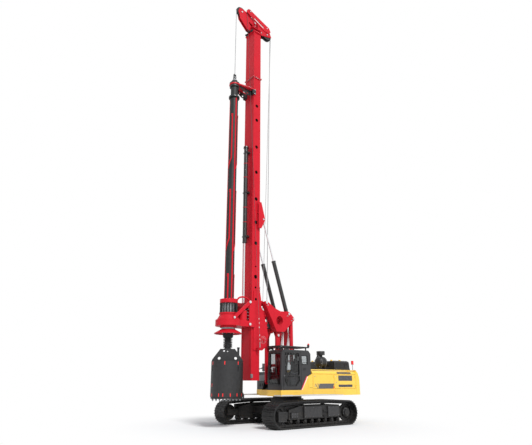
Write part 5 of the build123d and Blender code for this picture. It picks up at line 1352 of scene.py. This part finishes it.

# %% [markdown]
# ## Deck and side box
# A pale strip along the skirt's lower edge is a painted highlight. The box on the other side has a grey
# panel with two slots below it, which are dark plates of painted shade, a rail and a step. Clamped pipes and
# a valve block fill the middle of the deck.

# %% Deck trim
# The pale strips are a painted highlight along the skirt's lower edge, on both sides and at the front.
skirt_highlight_outline = [[(-2600, 1296), (1570, 1294), (1570, 1352), (-1200, 1350), (-2500, 1316)]]
strips = [plate_at("side", side * 1479, skirt_highlight_outline, 3, 0.6) for side in (1, -1)]
strips.append(plate_at("front", 1595, [[(960, 1294), (1470, 1294), (1470, 1352), (1000, 1340)]], 3, 0.6))
hold(join(strips), "skirt_painted_highlights", "painted_highlight_grey", "upper")
seam_rows = [(x, x + 5, 1296, 1546) for x in (-401, -1922, -3549)]
hold(join(joint_lines(seam_rows, 1) + joint_lines(seam_rows, -1)), "skirt_seams", "rubber_black", "upper")
box_panel = plate_at("front", 602, [rounded((-1316, -727), (1960, 2240), 24)], 8, 3)
hold(box_panel, "box_panel", "panel_grey", "upper")
# The two dark plates on the box's front are painted shade that stands for its slots; the thin rings on its
# side frame two panels.
box_slots = [plate_at("front", 601, [rounded((y, y + 90), (1690, 1830), 20)], 6, 1) for y in (-1270, -1090)]
for x in (-340, 110):
    rim = [rounded((x, x + 420), (1640, 2200), 20), rounded((x + 8, x + 412), (1648, 2192), 14)]
    box_slots.append(plate_at("side", -1478, rim, 4, 1))
hold(join(box_slots), "box_slots", "rubber_black", "upper")
rail = tube([(560, -1440, 2250), (590, -1440, 2470), (500, -1440, 2560), (-300, -1440, 2560),
             (-350, -1440, 2470), (-350, -1440, 2370)], 16, rings=2)
hold(join([rail, round_bar((120, -1440, 2370), (120, -1440, 2556), 14)]), "box_rail", "black_satin", "upper")
mirror_glass = soft_block((398, 404), (-1308, -1092), (2436, 2774), 8)
hold(mirror_glass, "mirror_face", "panel_grey", "upper")
arm_route = [(590, -1350, 2260), (640, -1350, 2420), (560, -1300, 2560), (400, -1200, 2600)]
hold(tube(arm_route, 14, rings=2), "mirror_arm", "black_satin", "upper")
block_rows = [soft_block((620, 900), (-90, 90), (1498, 1640), 10),
              soft_block((660, 860), (-60, 60), (1636, 1700), 8)]
hold(join(block_rows), "valve_block", "plastic_grey", "upper")
for number, y in enumerate((-260, -200, -140, 140, 200, 260)):
    near = 90 if y > 0 else -90
    route = [(760, near * 0.6, 1660), (820, y * 0.8, 1720), (980, y, 1620), (1100, y, 1520), (1130, y, 1512)]
    pipe_line(f"deck_pipe_{number + 1}", route, 15, "upper", [(1090, y, 1516)], (16, 22, 16))
deck_tread = [soft_block((-250 + 90 * k, -240 + 90 * k), (-540, 500), (1498, 1505), 2) for k in range(6)]
hold(join(deck_tread), "deck_tread", "frame_black", "upper")
step_rows = [plate_at("side", 1481, [rounded((420, 900), (z - 14, z + 14), 8)], 6, 2) for z in (1350, 1470)]
hold(join(step_rows), "door_steps", "yellow_enamel", "upper")

# %% [markdown]
# ## Rotary head
# The gearbox carries two motors, a bolted ring and a bent red pipe that leads oil from the slide to
# the cage's crown. Three pipes run from each motor to a clamp on the slide.

# %% Rotary head trim
KELLY_X = 3510


def round_kelly(radius, z, count, start=0.0, sweep=360.0):
    """Places round the kelly bar's axis."""
    step = sweep / count
    return [(KELLY_X + radius * math.cos(math.radians(start + step * k)),
             radius * math.sin(math.radians(start + step * k)), z) for k in range(count)]


def kelly_rim(inner, outer, z, high, edge):
    """Ring round the kelly bar's axis, with its outer edges broken."""
    return turned([(inner, z), (outer, z + edge), (outer, z + high - edge), (inner, z + high), (inner, z)],
                  (KELLY_X, 0, 0), (0, 0, 1), 48)


bolts("housing_bolts", round_kelly(572, 4601, 17, -110, 226), (0, 0, 1), 24, "red_enamel", "rotary_head")
bolts("crown_bolts", round_kelly(390, 5561, 18), (0, 0, 1), 20, "pin_zinc", "rotary_head")
crown = [kelly_rim(414, 424, 5386, 26, 4), kelly_rim(414, 426, 5532, 28, 4)]
hold(join(crown), "crown_rims", "red_enamel", "rotary_head")
rod_profile = [(25, 4932), (33, 4936), (33, 4980), (25, 4986), (25, 5316), (33, 5322), (33, 5368),
               (25, 5372)]
spring_rods = [turned(rod_profile, place, (0, 0, 1), 12) for place in round_kelly(391, 0, 18)]
hold(join(spring_rods), "cage_collars", "kelly_black", "rotary_head")
lines = join([turned([(597, z), (604, z + 5), (604, z + 19), (597, z + 24)], (KELLY_X, 0, 0), (0, 0, 1), 56)
              for z in (4345, 4562)])
select_only(lines)
bpy.ops.object.mode_set(mode="EDIT")
bpy.ops.mesh.select_all(action="SELECT")
bpy.ops.mesh.bisect(plane_co=spot(KELLY_X - 10, 0, 0), plane_no=(1, 0, 0), clear_inner=True)
bpy.ops.object.mode_set(mode="OBJECT")
hold(lines, "housing_rims", "red_enamel", "rotary_head")
sleeve_rings = [kelly_rim(292, 300, z, 26, 4) for z in (4176, 4212)]
hold(join(sleeve_rings), "sleeve_rings", "pin_zinc", "drive_sleeve")
motor = [(0, 96), (60, 96), (70, 84), (70, 40), (132, 36), (160, 22), (186, 14), (189, 0), (0, 0)]
for side, word in SIDES:
    y = side * 300
    hold(turned(motor, (2900, y, 5060), (0, 0, 1), 32), "motor_cap_" + word, "black_satin", "rotary_head")
    motor_bolts = [(2900 + u, y + v, 5086) for u, v in ring_of(150, 8)]
    bolts("motor_bolts_" + word, motor_bolts, (0, 0, 1), 15, "pin_zinc", "rotary_head")
    for number, dy in enumerate((-50, 0, 50)):
        route = [(2880, y + dy * 0.6, 5130), (2870, y + dy, 5260), (2800, y + dy, 5330),
                 (2720, y + dy, 5330), (2662, y + dy, 5320)]
        pipe_line(f"motor_pipe_{word}_{number + 1}", route, 14, "rotary_head", [(2676, y + dy, 5322)],
                  (14, 18, 18))
arch = tube([(3270, 320, 5530), (3200, 350, 5640), (3060, 390, 5690), (2900, 415, 5690), (2740, 430, 5640),
             (2600, 440, 5530)], 40, rings=3)
flanges = [round_bar((3270, 320, 5516), (3262, 323, 5546), 44, 5),
           round_bar((2600, 440, 5515), (2610, 440, 5545), 44, 5)]
hold(join([arch] + flanges), "oil_pipe", "red_enamel", "rotary_head")
post = [round_bar((3720, -420, low), (3720, -420, high), radius, edge)
        for low, high, radius, edge in ((4598, 4800, 34, 8), (4790, 4830, 22, 6), (4598, 4616, 52, 5))]
hold(join(post), "housing_post", "red_enamel", "rotary_head")
slide_bolts = [(2661, side * y, z) for side in (1, -1) for y in (330, 420) for z in (4700, 4850, 5000, 5150)]
bolts("slide_bolts", slide_bolts, (1, 0, 0), 18, "pin_zinc", "rotary_head")
dish_rim = turned([(630, 3984), (641, 3984), (641, 4004), (630, 4010), (630, 3984)], (KELLY_X, 0, 0),
                  (0, 0, 1), 64)
hold(dish_rim, "dish_rim", "red_enamel", "drive_sleeve")

# %% [markdown]
# ## Kelly bar and bucket
# The bar's guide is bolted together. The bucket carries short red wear strips round its top and its
# lower edge, and its door a row of teeth.

# %% Guide, bar and bucket trim
guide_bolts = [(2700 + 90 * k, side * (430 - 15 * k), 17461) for side in (1, -1) for k in range(6)]
guide_bolts += round_kelly(262, 17461, 7, -80, 186)
bolts("guide_bolts", guide_bolts, (0, 0, 1), 16, "pin_zinc", "kelly_guide")
roller_cap = [(0, 10), (18, 10), (22, 4), (40, 2), (44, -2), (0, -2)]
rollers = [turned(roller_cap, (2400, side * 450, z), (0, side, 0), 20)
           for side in (1, -1) for z in (17160, 17400)]
hold(join(rollers), "guide_roller_caps", "steel_grey", "kelly_guide")
collar_rings = [kelly_rim(282, 296, z, 30, 6) for z in (16595, 16630)]
hold(join(collar_rings), "kelly_ring_rims", "barrel_black", "kelly_outer")
swivel = [turned([(152, 0), (158, 6), (158, 30), (110, 44), (84, 50), (84, 0), (152, 0)],
                 (KELLY_X, 0, 17700), (0, 0, 1), 32)]
swivel += [turned([(81, 0), (92, 5), (92, 25), (81, 30), (81, 0)], (KELLY_X, 0, z), (0, 0, 1), 28)
           for z in (17800, 17880, 17960)]
hold(join(swivel), "swivel_rings", "steel_grey", "kelly_outer")
rim_profile = [(198, -14), (208, -8), (211, 0), (208, 8), (198, 14), (198, -14)]
coil = [turned(rim_profile, (KELLY_X, 0, 3395 + 70 * k), (0, 0, 1), 36) for k in range(7)]
hold(join(coil), "damper_rims", "tool_black", "kelly_inner")


def on_bucket(name, rows, wide, high, proud, finish):
    """Strips on the bucket's wall: rows of the angle round its axis and the middle's height."""
    strips = []
    for angle, z in rows:
        strip = soft_block((SHIFT_X + 700, SHIFT_X + 715 + proud), (-wide / 2, wide / 2),
                           (z - high / 2, z + high / 2), 3)
        turn = Matrix.Rotation(math.radians(angle), 4, "Z")
        strip.matrix_world = Matrix.Translation(spot(KELLY_X, 0, 0)) @ turn
        settle(strip)
        strips.append(strip)
    return hold(join(strips), name, finish, "kelly_inner")


top_angles = [-8, 46, 97, 148, 200, 251, 303]
low_angles = [27, 42, 68, 94, 121, 147, 173, 199, 225, 251, 277, 303, 329, 352]
on_bucket("wear_strips_top", [(angle, 2684) for angle in top_angles], 40, 140, 3, "stripe_red")
on_bucket("wear_strips_low", [(angle, 1368) for angle in low_angles] + [(-9, 1771), (171, 1771)], 38, 130, 3,
          "stripe_red")
# Dark plates of painted shade stand for the slots in the bucket's wall.
on_bucket("bucket_slots", [(97, 2450), (277, 2450), (-8, 2460), (172, 2460)], 34, 220, 1, "painted_hole_shade")
BUCKET_TURN = Matrix.Rotation(math.radians(-35.2), 4, "Z")


def in_bucket_axes(piece):
    """Move a piece from the drawing's axes to the bucket's, which is turned about the kelly bar."""
    to_axis = Matrix.Translation((SHIFT_X / 1000, 0, 0))
    piece.matrix_world = Matrix.Translation(spot(KELLY_X, 0, 0)) @ BUCKET_TURN @ to_axis
    settle(piece)
    return piece


teeth = []
for k in (-4, -3, -2, -1, 1, 2, 3, 4):
    x = k * 150
    outline = [(x - 26, 1111), (x + 14, 1111), (x + 50, 1190), (x - 50, 1190)]
    teeth.append(in_bucket_axes(plate_at("side", 80 if k > 0 else -80, [outline], 76, 5)))
teeth.append(in_bucket_axes(soft_block((-36, 36), (-34, 34), (1112, 1190), 6)))
hold(join(teeth), "bucket_teeth", "steel_grey", "bucket_door")
latch = in_bucket_axes(join([soft_block((-545, -425), (-68, 68), (3330, 3388), 8),
                             soft_block((-520, -450), (-64, 64), (2790, 2850), 6)]))
hold(latch, "latch_cap", "tool_black", "kelly_inner")
pin_heads = [turned([(0, 24), (30, 24), (38, 18), (40, 0), (0, 0)], (SHIFT_X, side * 176, 3210),
                    (0, side, 0), 20) for side in (1, -1)]
hold(in_bucket_axes(join(pin_heads)), "tool_pin", "pin_zinc", "kelly_inner")

# %% [markdown]
# ## Small things on the mast
# A junction box, a sensor, ferrules on the parked rope, a shackle that ties it down, loops and pipes
# on the mast's back, and the rope guards and lamps of the head.

# %% Boxes, ferrules and shackle
small = join([soft_block((2378, 2462), (348, 432), (2070, 2240), 8),
              plate_at("side", 433, [rounded((2390, 2450), (2084, 2226), 8)], 6, 2)])
hold(small, "mast_box", "panel_grey", "mast")
sensor = join([soft_block((2290, 2380), (385, 440), (4340, 4440), 8),
               soft_block((2310, 2360), (436, 456), (4360, 4420), 5)])
hold(sensor, "mast_sensor", "rubber_black", "mast")
rope_top, rope_low = Vector(PARKED_TOP), Vector(PARKED_LOW)
along_rope = (rope_low - rope_top).normalized()
ferrule = [(9, -34), (15, -30), (17, 0), (15, 30), (9, 34)]
ferrules = []
for z in (4720, 4520, 4320, 3960, 3780):
    place = rope_top + (rope_low - rope_top) * ((rope_top.z - z) / (rope_top.z - rope_low.z))
    ferrules.append(turned(ferrule, tuple(place), tuple(along_rope), 14))
hold(join(ferrules), "rope_ferrules", "pin_zinc", "mast")
shackle = join([tube([(2150, 625, 3375), (2150, 618, 3440), (2150, 630, 3520), (2150, 650, 3560),
                      (2150, 670, 3520), (2150, 682, 3440), (2150, 675, 3375)], 11, rings=3),
                turned([(0, 60), (16, 52), (24, 30), (24, -10), (16, -40), (0, -50)], (2150, 650, 3600),
                       (0, 0, 1), 18)])
hold(shackle, "rope_shackle", "steel_grey", "mast")
loops = [tube([(1928, 330, z), (1928, 362, z + 30), (1928, 362, z + 70), (1928, 330, z + 100)], 12, rings=2)
         for z in range(5500, 6221, 90)]
hold(join(loops), "mast_loops", "barrel_black", "mast")
for number, y in enumerate((-150, -90, 90, 150)):
    route = [(1926, y, 6300), (1922, y, 6400), (1922, y, 9000), (1926, y, 9100)]
    pipe_line(f"mast_rear_pipe_{number + 1}", route, 12, "mast",
              [(1926, y, z) for z in (6500, 7300, 8100, 8900)], (12, 16, 14))
guard = [soft_block((3290, 3345), (-97, 97), (22560, 22585), 4),
         soft_block((3060, 3090), (-97, 97), (22900, 22925), 4)]
hold(join(guard), "rope_guards", "black_satin", "mast")
mast_lamp = join([turned(lamp_shell, (2560, side * 250, 21560), (0.4, 0, -1), 24) for side in (1, -1)])
hold(mast_lamp, "mast_lamps", "black_satin", "mast")
